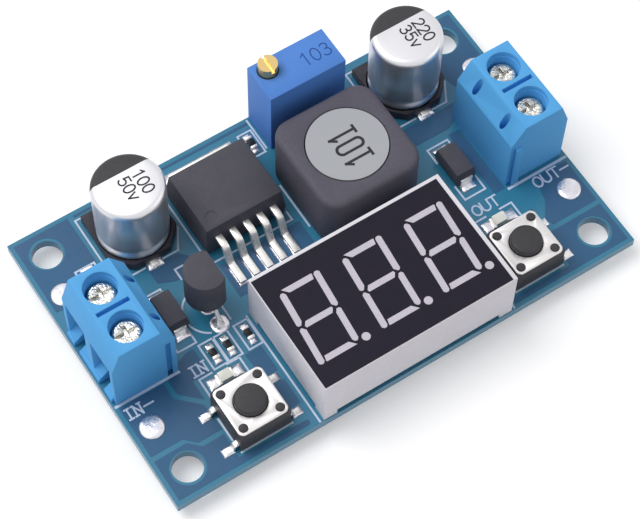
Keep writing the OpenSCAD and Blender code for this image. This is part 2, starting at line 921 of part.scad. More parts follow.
module chip_caps_y(size) {
  for (s = [-1, 1])
    translate([0, s * (size[1] - cap_len) / 2, pad_t])
      block(size[0], cap_len, size[2]);
}

module chip_resistors() {
  color("black")
    for (p = resistors_at)
      at(p)
        chip_body_y(resistor);
}

module chip_capacitor() {
  color("tan")
    at(chip_capacitor_at)
      chip_body_y(capacitor);
}

module chip_end_caps() {
  color("silver") {
    for (p = resistors_at)
      at(p)
        chip_caps_y(resistor);
    at(chip_capacitor_at)
      chip_caps_y(capacitor);
    for (p = [input_lamp_at, output_lamp_at])
      at(p, 90)
        chip_caps_y([lamp[1], lamp[0], 0.4]);
  }
}

// Chip lamp: a white carrier with a clear moulded lens.
module chip_lamp() {
  translate([0, 0, pad_t])
    block(lamp[0] - 2 * cap_len, lamp[1], 0.4);
  translate([0, 0, pad_t + 0.4])
    block(lamp[0] - 0.6, lamp[1] - 0.1, lamp[2] - 0.4);
}

module input_lamp() { color("ivory") at(input_lamp_at) chip_lamp(); }
module output_lamp() { color("ivory") at(output_lamp_at) chip_lamp(); }

// =====================================================================
// Display
// =====================================================================

reflector_z = disp_h - reflector_t;

// Half of a digit's bars; the other half is the same, turned half round.
module half_digit() {
  p = bar_w / 2;
  w = digit_w / 2;
  h = digit_h / 2;
  e = bar_gap_end;
  // Top bar: a long slant to the left, cut nearly square at the right.
  polygon([[-w + bar_nick, h + p], [-w + bar_slant, h - p], [w - p - e - bar_nick, h - p],
    [w - p - e, h + 0.8 * p], [w - p - e - bar_nick, h + p]]);
  // Upper right bar, up to the top bar's outer edge.
  polygon([[w - p, e + bar_tip], [w - p, h + 0.4 * p], [w - 0.5 * p, h + p], [w + 0.3 * p, h + p],
    [w + p, h + 0.4 * p], [w + p, e + bar_tip / 2], [w + 0.5 * p, e], [w, e]]);
  // Upper left bar, below the top bar's slant.
  polygon([[-w - p, e + bar_tip / 2], [-w - p, h - bar_tip + e], [-w - 0.4 * p, h], [-w + 0.4 * p, h - bar_nick / 2],
    [-w + p, h - bar_tip + bar_nick / 2], [-w + p, e + bar_tip], [-w + 0.3 * p, e], [-w - 0.5 * p, e]]);
}

// All bars of one digit and its point, grown by grow on each side.
module digit_bars(grow) {
  p = bar_w / 2;
  l = digit_w / 2 - p - 0.05;
  offset(delta = grow) {
    multmatrix([[1, tan(digit_lean), 0, 0], [0, 1, 0, 0], [0, 0, 1, 0], [0, 0, 0, 1]]) {
      half_digit();
      rotate(180)
        half_digit();
      polygon([[-l, -0.3 * p], [-l + 0.3, p], [l - 0.1, p], [l, 0.3 * p], [l - 0.3, -p], [-l + 0.1, -p]]);
    }
    translate([dot_x, dot_y])
      circle(d = dot_d, $fn = 24);
  }
}

module all_digits(grow) {
  for (i = [-1:1])
    translate([digit_x + i * digit_pitch, digit_y])
      digit_bars(grow);
}

// White shell: four feet, a hollow below and the reflector block on top.
module display_shell() {
  color("white")
    at(display_at)
      difference() {
        block(disp_w, disp_d, disp_h);
        translate([0, 0, -cut])
          block(disp_w - 2 * disp_wall, disp_d - 2 * disp_wall, reflector_z + cut);
        translate([0, 0, -cut]) {
          block(disp_w + 2 * cut, disp_d - 2 * disp_foot_size[1], disp_foot + cut);
          block(disp_w - 2 * disp_foot_size[0], disp_d + 2 * cut, disp_foot + cut);
        }
        translate([0, 0, reflector_z - cut])
          linear_extrude(reflector_t + 2 * cut)
            all_digits(segment_gap);
      }
}

// Black film on top of the shell, with a window at each bar.
module display_face() {
  color("black")
    at(display_at)
      translate([0, 0, disp_h])
        linear_extrude(film_t)
          difference() {
            translate([-disp_w / 2 + film_margin[0], -disp_d / 2 + film_margin[2]])
              square([disp_w - film_margin[0] - film_margin[1], disp_d - film_margin[2] - film_margin[3]]);
            all_digits(segment_gap);
          }
}

module display_segments() {
  color("gainsboro")
    at(display_at)
      translate([0, 0, reflector_z])
        linear_extrude(reflector_t + film_t - film_recess)
          all_digits(0);
}

module display_board() {
  w = disp_w - 2 * disp_wall - 2 * disp_board_gap;
  d = disp_d - 2 * disp_wall - 2 * disp_board_gap;
  color("forestgreen")
    at(display_at)
      translate([0, 0, reflector_z - disp_board_t])
        block(w, d, disp_board_t);
}

module display_pins() {
  top = board_t + reflector_z - disp_board_t;
  color("silver")
    for (p = display_leads)
      translate([p[0], p[1], -stub])
        block(disp_pin, disp_pin, top + stub);
}

// Meter controller in the space under the display.
module meter_chip() {
  color("dimgray")
    at(display_at) {
      translate([0, 0, pad_t + 0.05])
        block(chip_body[0], chip_body[1], chip_body[2] - 0.05);
      for (s = [90, -90], i = [0:chip_lead_count - 1])
        translate([(i - (chip_lead_count - 1) / 2) * chip_lead_pitch, sign(s) * chip_body[1] / 2, pad_t + 0.08])
          rotate(s)
            slab_xz(bent_lead(0.2, 0.4, 1, 0.15, 0.12, 80), 0.25);
    }
}

// =====================================================================
// Buttons
// =====================================================================

// Moulded base with a round cavity, contact slots and four rivet heads.
module button_base() {
  color("dimgray")
    difference() {
      union() {
        translate([0, 0, btn_stand])
          block(btn_w, btn_w, btn_h - btn_stand);
        for (sx = [-1, 1], sy = [-1, 1])
          translate([sx * stake_at, sy * stake_at, btn_h - cut]) {
            cylinder(d = stake_d, h = cut + cover_t + cut / 2, $fn = 24);
            translate([0, 0, cut + cover_t])
              cylinder(d1 = stake_head_d, d2 = stake_head_d - 0.25, h = stake_head_h, $fn = 24);
          }
        // Locating feet.
        for (sx = [-1, 1], sy = [-1, 1])
          translate([sx * 1.6, sy * 2.2, 0])
            cylinder(d = 0.8, h = btn_stand + cut, $fn = 24);
      }
      translate([0, 0, cavity_floor])
        cylinder(d = cavity_d, h = btn_h, $fn = 64);
      for (s = [-1, 1])
        translate([0, s * leg_y, leg_z - leg_t / 2])
          block(btn_w + 2 * cut, leg_w, leg_t);
    }
}

module button_cover() {
  w = btn_w - 2 * cover_inset;
  color("gainsboro")
    translate([0, 0, btn_h])
      difference() {
        linear_extrude(cover_t)
          round_rect(w, w, cover_r);
        translate([0, 0, -cut])
          cylinder(d = plunger_d + 2 * plunger_gap, h = 1, $fn = 64);
        for (sx = [-1, 1], sy = [-1, 1])
          translate([sx * stake_at, sy * stake_at, -cut])
            cylinder(d = stake_d + 0.1, h = 1, $fn = 24);
      }
}

dome_z = cavity_floor + dome_rise + dome_t;

// Round plunger, kept in by a flange under the cover.
module button_plunger() {
  top = btn_h + cover_t + plunger_proud;
  color("black")
    rotate_extrude($fn = 64)
      polygon([
        [0, dome_z + 0.02], [nub_d / 2, dome_z + 0.02], [nub_d / 2, btn_h - flange_t],
        [flange_d / 2, btn_h - flange_t], [flange_d / 2, btn_h - 0.02], [plunger_d / 2, btn_h - 0.02],
        [plunger_d / 2, top - 0.2], [plunger_d / 2 - 0.2, top], [0, top]
      ]);
}

// Snap dome: a thin cap that buckles under the plunger.
module button_dome() {
  rim = dome_d / 2;
  r = (rim * rim + dome_rise * dome_rise) / (2 * dome_rise);
  a = asin(rim / r);
  color("silver")
    translate([0, 0, dome_z - r])
      rotate_extrude($fn = 48)
        polygon(concat(
          arc([0, 0], r, 90, 90 - a, 6),
          arc([0, 0], r - dome_t, 90 - a, 90, 6)
        ));
}

// Two strips across the base, each bent down to a foot at both sides.
module button_contact_pair() {
  z = pad_t + leg_t / 2;
  color("silver")
    for (s = [-1, 1], a = [0, 180])
      rotate(a)
        translate([0, s * leg_y, z])
          slab_xz(bent_lead(btn_w / 2 + 0.25, leg_z - z, leg_reach, leg_t, 0.25, 80), leg_w);
}

module input_button_base() { at(input_button_at) button_base(); }
module input_button_cover() { at(input_button_at) button_cover(); }
module input_button_plunger() { at(input_button_at) button_plunger(); }
module input_button_dome() { at(input_button_at) button_dome(); }
module input_button_contacts() { at(input_button_at) button_contact_pair(); }
module output_button_base() { at(output_button_at) button_base(); }
module output_button_cover() { at(output_button_at) button_cover(); }
module output_button_plunger() { at(output_button_at) button_plunger(); }
module output_button_dome() { at(output_button_at) button_dome(); }
module output_button_contacts() { at(output_button_at) button_contact_pair(); }

// =====================================================================
// Trimmer
// =====================================================================

trim_screw = [-trim_l / 2 + trim_screw_at[0], trim_d / 2 - trim_screw_at[1]];
wheel_x = trim_screw[0] + worm_pitch_r + wheel_r;
cavity_top = trim_h - trim_roof;
worm_lead = 2 * PI * wheel_r / wheel_teeth;

module trimmer_case() {
  color("royalblue")
    at(trimmer_at)
      difference() {
        union() {
          difference() {
            block(trim_l, trim_d, trim_h);
            translate([0, 0, trim_base_t])
              block(trim_l - 2 * trim_wall, trim_d - 2 * trim_wall, cavity_top - trim_base_t);
          }
          // Axle for the worm wheel.
          translate([wheel_x, trim_d / 2 - cut, wheel_z])
            rotate([90, 0, 0])
              cylinder(d = axle_d, h = trim_d / 2 - trim_screw[1] + wheel_t / 2 - cut, $fn = 32);
        }
        translate([trim_screw[0], trim_screw[1], cavity_top - cut])
          cylinder(d = trim_shaft_d + 0.12, h = 3, $fn = 48);
        translate([trim_screw[0], trim_screw[1], trim_h - ring_d])
          cylinder(d = trim_head_d + 2 * trim_head_gap, h = 3, $fn = 48);
        for (i = [-1:1])
          translate([i * trim_pin_pitch, -trim_d / 4, -cut])
            block(trim_pin, trim_pin, trim_base_t + 2 * cut);
      }
}

// Adjusting screw: slotted head, plain neck and a worm.
module trimmer_screw() {
  z0 = trim_base_t + 0.3;
  z1 = cavity_top - 0.3;
  color("goldenrod")
    at(trimmer_at)
      translate([trim_screw[0], trim_screw[1], 0]) {
        difference() {
          union() {
            translate([0, 0, z0])
              cylinder(d = worm_core_d, h = z1 - z0, $fn = 32);
            translate([0, 0, z1 - cut])
              cylinder(d = trim_shaft_d, h = trim_h + 0.06 - z1 + cut, $fn = 48);
            translate([0, 0, trim_h + 0.05])
              cylinder(d = trim_head_d, h = trim_head_h - 0.05, $fn = 48);
          }
          translate([-0.2, -trim_head_d, trim_h + trim_head_h - 0.6])
            cube([0.4, 2 * trim_head_d, 1]);
        }
        worm_thread(z0 + 0.3, z1 - 0.3);
      }
}

// Helical thread of the worm, swept as one ribbon between two heights.
module worm_thread(z0, z1) {
  steps = 20;
  turns = floor((z1 - z0 - 0.3) / worm_lead);
  n = turns * steps;
  r0 = worm_core_d / 2 - 0.05;
  r1 = worm_pitch_r + tooth_out;
  section = [[r0, -0.13], [r1, -0.06], [r1, 0.06], [r0, 0.13]];
  start = wheel_z - floor(turns / 2) * worm_lead;
  points = [for (i = [0:n], p = section)
    [p[0] * cos(i * 360 / steps), p[0] * sin(i * 360 / steps), start + p[1] + i * worm_lead / steps]];
  sides = [for (i = [0:n - 1], k = [0:3])
    [4 * i + k, 4 * i + (k + 1) % 4, 4 * (i + 1) + (k + 1) % 4, 4 * (i + 1) + k]];
  polyhedron(points, concat([[3, 2, 1, 0]], sides, [[for (k = [0:3]) 4 * n + k]]));
}

module trimmer_ring() {
  color("black")
    at(trimmer_at)
      translate([trim_screw[0], trim_screw[1], trim_h - ring_d / 2])
        rotate_extrude($fn = 48)
          translate([trim_shaft_d / 2 + ring_d / 2 + 0.01, 0])
            circle(d = ring_d - 0.03, $fn = 16);
}

// Worm wheel, its teeth leaning with the worm's thread.
module trimmer_wheel() {
  r0 = wheel_r - tooth_in;
  r1 = wheel_r + tooth_out;
  step = 360 / wheel_teeth;
  lean = atan(worm_lead / (2 * PI * worm_pitch_r));
  twist = -wheel_t * tan(lean) / wheel_r * 180 / PI;
  color("ivory")
    at(trimmer_at)
      translate([wheel_x, trim_screw[1] + wheel_t / 2, wheel_z])
        rotate([90, 0, 0])
          difference() {
            rotate(180 - step / 2 + twist / 2)
              linear_extrude(wheel_t, twist = twist, slices = 3)
                polygon([for (i = [0:wheel_teeth - 1], k = [[-2.7, r0], [-1.6, r1], [1.6, r1], [2.7, r0]])
                  k[1] * [cos(i * step + k[0]), sin(i * step + k[0])]]);
            translate([0, 0, -cut])
              cylinder(d = axle_d + 2 * axle_gap, h = wheel_t + 2 * cut, $fn = 32);
          }
}

// Sprung contact on the wheel's face, reaching the resistive element.
module trimmer_wiper() {
  y0 = trim_screw[1] - wheel_t / 2;
  y1 = -trim_d / 2 + trim_wall + element[1] + 0.08;
  color("gold")
    at(trimmer_at)
      translate([wheel_x, y0, wheel_z])
        rotate([90, 0, 0]) {
          translate([0, 0, 0])
            linear_extrude(0.2)
              difference() {
                circle(2, $fn = 48);
                circle(1.2, $fn = 32);
              }
          translate([0, 1.6, 0.2 - 0.01])
            cylinder(d = 0.6, h = y0 - y1 - 0.2, $fn = 24);
        }
}

// Ceramic element with its three pins.
module trimmer_element() {
  y = -trim_d / 2 + trim_wall;
  color("whitesmoke")
    at(trimmer_at) {
      translate([wheel_x - element[0] / 2 - 0.4, y, element_z])
        cube(element);
      for (i = [-1:1])
        translate([i * trim_pin_pitch, -trim_d / 4, -board_t - stub])
          block(trim_pin, trim_pin, board_t + stub + element_z + 0.6);
    }
}

circuit_board();
solder_pads();
solder_joints();
input_terminal_housing();
output_terminal_housing();
terminal_pins();
input_negative_screw();
input_positive_screw();
output_negative_screw();
output_positive_screw();
input_negative_cage();
input_positive_cage();
output_negative_cage();
output_positive_cage();
input_capacitor_can();
input_capacitor_base();
output_capacitor_can();
output_capacitor_base();
capacitor_leads();
inductor_shield();
inductor_core();
inductor_winding();
inductor_terminals();
regulator_body();
regulator_tab();
regulator_leads();
meter_supply_body();
meter_supply_leads();
input_diode_body();
output_diode_body();
diode_tabs();
chip_resistors();
chip_capacitor();
chip_end_caps();
input_lamp();
output_lamp();
display_shell();
display_face();
display_segments();
display_board();
display_pins();
meter_chip();
input_button_base();
input_button_cover();
input_button_plunger();
input_button_dome();
input_button_contacts();
output_button_base();
output_button_cover();
output_button_plunger();
output_button_dome();
output_button_contacts();
trimmer_case();
trimmer_screw();
trimmer_ring();
trimmer_wheel();
trimmer_wiper();
trimmer_element();
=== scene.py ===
"""Finishes, print and solder of a step-down converter board with a three-digit meter.

Sizes are in millimetres where a name ends in _mm or a helper says so, and in metres elsewhere.
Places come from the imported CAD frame, whose axes are: +X input end to output end, +Y display
edge to back edge, +Z out of the component side.
"""

import json
import math

import bmesh
import bpy
from bpy.props import FloatProperty, FloatVectorProperty, PointerProperty
from mathutils import Matrix, Vector

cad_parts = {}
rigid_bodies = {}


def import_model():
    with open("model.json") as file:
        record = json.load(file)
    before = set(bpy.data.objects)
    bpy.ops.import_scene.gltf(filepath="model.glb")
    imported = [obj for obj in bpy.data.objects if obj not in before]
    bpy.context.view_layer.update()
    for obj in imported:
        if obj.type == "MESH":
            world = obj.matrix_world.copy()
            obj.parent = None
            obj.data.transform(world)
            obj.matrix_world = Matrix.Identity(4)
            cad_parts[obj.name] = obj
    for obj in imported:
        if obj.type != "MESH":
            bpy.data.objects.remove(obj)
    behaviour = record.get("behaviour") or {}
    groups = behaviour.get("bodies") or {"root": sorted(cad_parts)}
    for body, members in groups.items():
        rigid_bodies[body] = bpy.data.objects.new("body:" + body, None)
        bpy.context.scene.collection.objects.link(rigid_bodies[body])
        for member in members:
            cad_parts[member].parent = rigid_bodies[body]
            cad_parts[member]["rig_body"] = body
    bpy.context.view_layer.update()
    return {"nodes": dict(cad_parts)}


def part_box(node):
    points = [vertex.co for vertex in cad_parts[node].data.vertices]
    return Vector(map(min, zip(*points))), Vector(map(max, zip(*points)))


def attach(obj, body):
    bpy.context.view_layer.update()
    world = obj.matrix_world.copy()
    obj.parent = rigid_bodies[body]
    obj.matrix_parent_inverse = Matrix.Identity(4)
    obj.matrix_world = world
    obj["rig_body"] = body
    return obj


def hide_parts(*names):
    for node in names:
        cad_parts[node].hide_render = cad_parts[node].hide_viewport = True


bl_info = {
    "name": "Step-down converter looks",
    "version": (1, 0, 0),
    "blender": (4, 5, 0),
    "location": "3D View > Sidebar > Converter",
    "description": "Finishes, print and solder for a step-down converter board",
    "category": "Object",
}

MM = 0.001
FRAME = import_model()
WELD = 1e-6


def span(*names):
    """Lowest and highest corner, in millimetres, of CAD nodes taken together."""
    boxes = [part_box(name) for name in names]
    low = [min(box[0][axis] for box in boxes) / MM for axis in range(3)]
    high = [max(box[1][axis] for box in boxes) / MM for axis in range(3)]
    return Vector(low), Vector(high)


def middle(*names):
    """Centre, in millimetres, of CAD nodes taken together."""
    low, high = span(*names)
    return (low + high) / 2


def linear(code):
    """Linear red, green and blue of a six-digit colour code."""
    shares = [int(code[start:start + 2], 16) / 255 for start in (0, 2, 4)]
    return tuple(s / 12.92 if s <= 0.04045 else ((s + 0.055) / 1.055) ** 2.4 for s in shares)


BOARD_TOP = span("circuit_board")[1].z
ENDS = ("input", "output")
POLES = ("negative", "positive")


# ---------------------------------------------------------------- settings


def length(name, description, default_mm):
    """A length setting whose default is given in millimetres."""
    return FloatProperty(name=name, description=description, default=default_mm * MM,
                         min=0.0, precision=5, unit="LENGTH")


def colour(name, description, code):
    """A colour setting whose default is a six-digit code."""
    return FloatVectorProperty(name=name, description=description, subtype="COLOR",
                               size=3, min=0.0, max=1.0, default=linear(code))


class ConverterSizes(bpy.types.PropertyGroup):
    """Sizes of print, solder and broken edges."""

    line_width: length("Print line width", "Width of the printed outlines", 0.22)
    bar_width: length("Heavy line width", "Width of the line in front of a terminal", 0.32)
    ink_height: length("Ink height", "Height of the print above the mask", 0.02)
    copper_height: length("Copper height", "How far the mask stands up over copper", 0.03)
    solder_rise: length("Solder rise", "Height of a solder heap on a pad", 0.16)
    moulding_edge: length("Moulding edge", "Rounding of large mouldings", 0.12)
    fine_edge: length("Fine edge", "Rounding of leads and small bodies", 0.04)
    text_height: length("Board text", "Height of the letters on the board", 1.25)
    can_pen: length("Can pen", "Stroke width of the figures on the cans", 0.17)
    coil_pen: length("Inductor pen", "Stroke width of the figures on the inductor", 0.3)
    trimmer_pen: length("Trimmer pen", "Stroke width of the figures on the trimmer", 0.13)


class ConverterColours(bpy.types.PropertyGroup):
    """Main colours of the finishes."""

    mask: colour("Solder mask", "Mask over bare laminate", "175072")
    mask_copper: colour("Mask over copper", "Mask where copper lies under it", "2f6288")
    mask_shade: colour("Mask tint", "Violet cast of the mask in places", "49638a")
    ink: colour("Ink", "Printed outlines and letters", "d3e2f4")
    terminal: colour("Terminal plastic", "Moulded terminal housings", "5aa7f2")
    trimmer: colour("Trimmer plastic", "Case of the multi-turn trimmer", "4f86ea")
    ferrite: colour("Ferrite", "Shield of the inductor", "565460")
    disc: colour("Drum top", "Pale top of the inductor's drum", "84848e")
    # Painted shade: the side colour is a darker copy of the can colour, so that the walls of the cans
    # look shaded beside their lit tops.
    can: colour("Can", "Lacquered aluminium of the capacitors", "cdccd4")
    can_side: colour("Can side", "Side of the capacitors", "a2a7b2")
    epoxy: colour("Moulded epoxy", "Bodies of the chips", "4c4b54")
    shell: colour("Display shell", "White shell of the display", "e9e6ed")
    film: colour("Display film", "Dark face of the display", "211e2b")
    bars: colour("Display bars", "Unlit bars and points", "d2ccd9")


class ConverterStage(bpy.types.PropertyGroup):
    """Camera, lamps and floor."""

    lens: FloatProperty(name="Lens", description="Focal length in millimetres",
                        default=122.6, unit="CAMERA")
    azimuth: FloatProperty(name="Azimuth", description="Where the camera stands, from -Y",
                           default=math.radians(-34.3), subtype="ANGLE")
    elevation: FloatProperty(name="Elevation", description="Height angle of the camera",
                             default=math.radians(61.9), subtype="ANGLE")
    roll: FloatProperty(name="Roll", description="Turn of the camera about its line of sight",
                        default=math.radians(1.7), subtype="ANGLE")
    distance: length("Distance", "Camera to the point it aims at", 233.3)
    sky: FloatProperty(name="Sky", description="Strength of the even light", default=0.45, min=0)
    key: FloatProperty(name="Key lamp", description="Power of the main soft lamp", default=1.35,
                       unit="POWER", min=0)
    fill: FloatProperty(name="Fill lamp", description="Power of the side lamp", default=0.12,
                        unit="POWER", min=0)
    floor_glow: FloatProperty(name="Floor glow", description="Lift of the floor that is seen",
                              default=0.3, min=0)


def sizes():
    """The sizes in the sidebar."""
    return bpy.context.scene.converter_sizes


def colours():
    """The colours in the sidebar."""
    return bpy.context.scene.converter_colours


# ---------------------------------------------------------------- finishes


# Strength of the mirror image in metals, and in everything else.
METAL_SHINE = 0.5
PLASTIC_SHINE = 0.28


class Finish:
    """A procedural finish. Its patterns read object coordinates, scaled to millimetres."""

    def __init__(self, name, base, roughness, metallic=0.0, **sockets):
        self.material = bpy.data.materials.new(name)
        self.material.use_nodes = True
        self.tree = self.material.node_tree
        self.shader = self.tree.nodes["Principled BSDF"]
        self.base = tuple(base)
        self.shader.inputs["Base Color"].default_value = (*self.base, 1)
        self.shader.inputs["Roughness"].default_value = roughness
        self.shader.inputs["Metallic"].default_value = metallic
        shine = METAL_SHINE if metallic > 0.5 else PLASTIC_SHINE
        self.shader.inputs["Specular IOR Level"].default_value = shine
        for socket, value in sockets.items():
            self.shader.inputs[socket.replace("_", " ")].default_value = value
        self.place = self.node("ShaderNodeTexCoord").outputs["Object"]
        self.height = None

    def node(self, kind, **settings):
        """Adds a node to the finish."""
        made = self.tree.nodes.new(kind)
        for key, value in settings.items():
            setattr(made, key, value)
        return made

    def link(self, source, target):
        """Joins two sockets."""
        self.tree.links.new(source, target)

    def grid(self, stretch=(1, 1, 1)):
        """Object coordinates in millimetres, divided by stretch along each axis."""
        mapping = self.node("ShaderNodeMapping")
        mapping.inputs["Scale"].default_value = [1 / MM / s for s in stretch]
        self.link(self.place, mapping.inputs["Vector"])
        return mapping.outputs["Vector"]

    def noise(self, size, detail=2.0, stretch=(1, 1, 1), distortion=0.0):
        """Cloudy pattern with features about size millimetres across."""
        made = self.node("ShaderNodeTexNoise")
        made.inputs["Scale"].default_value = 1 / size
        made.inputs["Detail"].default_value = detail
        made.inputs["Distortion"].default_value = distortion
        self.link(self.grid(stretch), made.inputs["Vector"])
        return made.outputs["Fac"]

    def grains(self, size, stretch=(1, 1, 1)):
        """Distance to the nearest of many scattered points, size millimetres apart."""
        made = self.node("ShaderNodeTexVoronoi")
        made.inputs["Scale"].default_value = 1 / size
        self.link(self.grid(stretch), made.inputs["Vector"])
        return made.outputs["Distance"]

    def spread(self, source, low, high, from_low=0.3, from_high=0.7):
        """Maps a pattern's usual range onto low to high."""
        made = self.node("ShaderNodeMapRange")
        for socket, value in (("From Min", from_low), ("From Max", from_high),
                              ("To Min", low), ("To Max", high)):
            made.inputs[socket].default_value = value
        self.link(source, made.inputs["Value"])
        return made.outputs["Result"]

    def blend(self, share, first, second):
        """Mixes two colours, each a colour or a socket, by share."""
        made = self.node("ShaderNodeMix", data_type="RGBA")
        self.link(share, made.inputs["Factor"])
        for socket, value in ((made.inputs[6], first), (made.inputs[7], second)):
            if isinstance(value, bpy.types.NodeSocket):
                self.link(value, socket)
            else:
                socket.default_value = (*value, 1)
        return made.outputs[2]

    def tint(self, share, factor=None, other=None):
        """Varies the base colour towards factor times itself, or towards another colour."""
        other = other or tuple(min(1.0, c * factor) for c in self.base)
        linked = self.shader.inputs["Base Color"].links
        base = linked[0].from_socket if linked else self.base
        self.link(self.blend(share, base, other), self.shader.inputs["Base Color"])
        return self

    def gloss(self, pattern, low, high):
        """Varies the roughness between low and high."""
        self.link(self.spread(pattern, low, high), self.shader.inputs["Roughness"])
        return self

    def mottle(self, size, detail, share, factor=None, other=None, stretch=(1, 1, 1)):
        """Varies the base colour in patches of a size, by up to a share."""
        return self.tint(self.spread(self.noise(size, detail, stretch), 0, share), factor, other)

    def sheen(self, size, detail, low, high, stretch=(1, 1, 1)):
        """Varies the roughness in patches of a size."""
        return self.gloss(self.noise(size, detail, stretch), low, high)

    def ripple(self, size, detail, depth, stretch=(1, 1, 1)):
        """Adds relief in waves of a size."""
        return self.relief(self.noise(size, detail, stretch), depth)

    def relief(self, pattern, depth):
        """Adds fine relief, depth millimetres from low to high."""
        bump = self.node("ShaderNodeBump")
        bump.inputs["Distance"].default_value = depth * MM
        self.link(pattern, bump.inputs["Height"])
        if self.height is not None:
            self.link(self.height, bump.inputs["Normal"])
        self.height = bump.outputs["Normal"]
        self.link(self.height, self.shader.inputs["Normal"])
        return self


def kept(build):
    """Makes a finish the first time that it is asked for, and hands the same one out later."""
    def get():
        return bpy.data.materials.get(build.__name__) or build().material
    get.__name__ = build.__name__
    return get


def facing(finish):
    """How far a surface faces straight up or down, 0 on the board's edges."""
    parts = finish.node("ShaderNodeSeparateXYZ")
    finish.link(finish.node("ShaderNodeTexCoord").outputs["Normal"], parts.inputs[0])
    size = finish.node("ShaderNodeMath", operation="ABSOLUTE")
    finish.link(parts.outputs["Z"], size.inputs[0])
    return finish.spread(size.outputs[0], 0, 1, 0.4, 0.6)


def masked(name, base):
    """Solder mask: a glossy coat whose cast drifts slowly over the board."""
    made = Finish(name, base, 0.32, Coat_Weight=0.1, Coat_Roughness=0.18)
    made.mottle(11, 2, 0.55, other=tuple(colours().mask_shade))
    made.mottle(5, 3, 0.4, 0.8)
    made.mottle(0.5, 4, 0.25, 0.82)
    made.sheen(0.8, 3, 0.28, 0.42)
    return made.ripple(0.9, 3, 0.01).ripple(0.12, 2, 0.002)


@kept
def solder_mask():
    made = masked("solder_mask", colours().mask)
    laminate = made.blend(made.noise(0.35, 3, (6, 6, 1)), linear("35564a"), linear("5a7f6b"))
    top = made.shader.inputs["Base Color"].links[0].from_socket
    made.link(made.blend(facing(made), laminate, top), made.shader.inputs["Base Color"])
    return made


@kept
def mask_over_copper():
    return masked("mask_over_copper", colours().mask_copper)


@kept
def print_ink():
    made = Finish("print_ink", colours().ink, 0.55)
    made.mottle(0.25, 3, 0.5, 0.82)
    made.mottle(3, 2, 0.5, other=linear("a9b6dc"))
    return made.sheen(0.2, 2, 0.45, 0.7).ripple(0.08, 2, 0.004)


@kept
def bright_solder():
    made = Finish("bright_solder", linear("e8e6ee"), 0.26, 0.85)
    made.mottle(0.8, 3, 0.6, 0.74)
    made.sheen(0.4, 3, 0.16, 0.4)
    return made.ripple(0.6, 2, 0.05).ripple(0.14, 3, 0.008)


@kept
def tin_plate():
    made = Finish("tin_plate", linear("f1efec"), 0.34, 0.8)
    made.mottle(0.6, 3, 0.6, 0.8, stretch=(1, 6, 1))
    made.sheen(0.25, 3, 0.24, 0.46, (1, 5, 1))
    return made.ripple(0.07, 2, 0.004, (1, 8, 1))


@kept
def nickel_plate():
    made = Finish("nickel_plate", linear("e6e5df"), 0.22, 0.95)
    made.mottle(0.45, 3, 0.7, 0.55)
    made.sheen(0.2, 3, 0.12, 0.36)
    return made.ripple(0.35, 3, 0.06).relief(made.grains(0.22), 0.03)


@kept
def can_aluminium():
    made = Finish("can_aluminium", colours().can, 0.42, 0.3)
    made.mottle(1.5, 3, 0.3, 0.9)
    top = made.shader.inputs["Base Color"].links[0].from_socket
    # Painted shade: walls that face sideways get the darker side colour and the top keeps the paler can
    # colour, for the shade on the walls. The faint vertical streaks on the walls are the metal's own.
    side = made.blend(made.spread(made.noise(0.35, 3, (1, 1, 20)), 0, 0.7),
                      tuple(colours().can_side), tuple(c * 0.8 for c in colours().can_side))
    made.link(made.blend(facing(made), side, top), made.shader.inputs["Base Color"])
    made.sheen(0.5, 3, 0.34, 0.46, (1, 1, 6))
    return made.ripple(0.05, 2, 0.0015, (1, 1, 12))


@kept
def can_black():
    made = Finish("can_black", linear("3c3b3e"), 0.42)
    made.mottle(0.5, 3, 0.5, 1.4)
    return made.sheen(0.3, 2, 0.35, 0.5).ripple(0.1, 2, 0.002)


@kept
def base_plastic():
    made = Finish("base_plastic", linear("2f2c36"), 0.45)
    made.mottle(0.6, 3, 0.4, 1.4)
    return made.sheen(0.3, 2, 0.38, 0.58).ripple(0.12, 3, 0.006)


@kept
def ferrite_shield():
    made = Finish("ferrite_shield", colours().ferrite, 0.62)
    made.mottle(2.5, 4, 0.5, 0.75)
    made.mottle(0.16, 3, 0.35, 1.4)
    made.sheen(0.3, 3, 0.52, 0.72)
    return made.ripple(0.5, 3, 0.02).relief(made.grains(0.11), 0.008)


@kept
def drum_top():
    made = Finish("drum_top", colours().disc, 0.6)
    made.mottle(1.5, 4, 0.5, 0.88)
    made.mottle(0.15, 3, 0.3, 1.15)
    return made.sheen(0.3, 3, 0.5, 0.7).relief(made.grains(0.12), 0.006)


@kept
def marking_ink():
    made = Finish("marking_ink", linear("26252c"), 0.6)
    return made.mottle(0.2, 3, 0.6, 1.6)


@kept
def trimmer_ink():
    """Darker blue figures stamped on the trimmer."""
    made = Finish("trimmer_ink", linear("2a55a0"), 0.5)
    made.tint(made.noise(0.12), 0.7)
    return made.ripple(0.15, 2, 0.004)


@kept
def copper_wire():
    made = Finish("copper_wire", linear("b4622c"), 0.28, 1.0)
    made.mottle(0.3, 2, 0.6, 0.7, stretch=(1, 1, 0.3))
    return made.sheen(0.2, 2, 0.2, 0.4).ripple(0.3, 1, 0.05, (9, 9, 0.4))


@kept
def moulded_epoxy():
    made = Finish("moulded_epoxy", colours().epoxy, 0.62)
    made.mottle(1.8, 4, 0.5, 1.25)
    made.mottle(0.09, 3, 0.4, 0.75)
    made.sheen(0.25, 3, 0.5, 0.72)
    return made.relief(made.grains(0.1), 0.008).ripple(0.04, 2, 0.004)


@kept
def resistor_glaze():
    made = Finish("resistor_glaze", linear("1c1b20"), 0.3)
    made.mottle(0.3, 3, 0.5, 1.7)
    return made.sheen(0.2, 3, 0.22, 0.42).ripple(0.1, 2, 0.003)


@kept
def capacitor_ceramic():
    made = Finish("capacitor_ceramic", linear("9a7a58"), 0.5)
    made.mottle(0.25, 3, 0.6, 0.8)
    return made.sheen(0.2, 3, 0.4, 0.6).ripple(0.07, 2, 0.004)


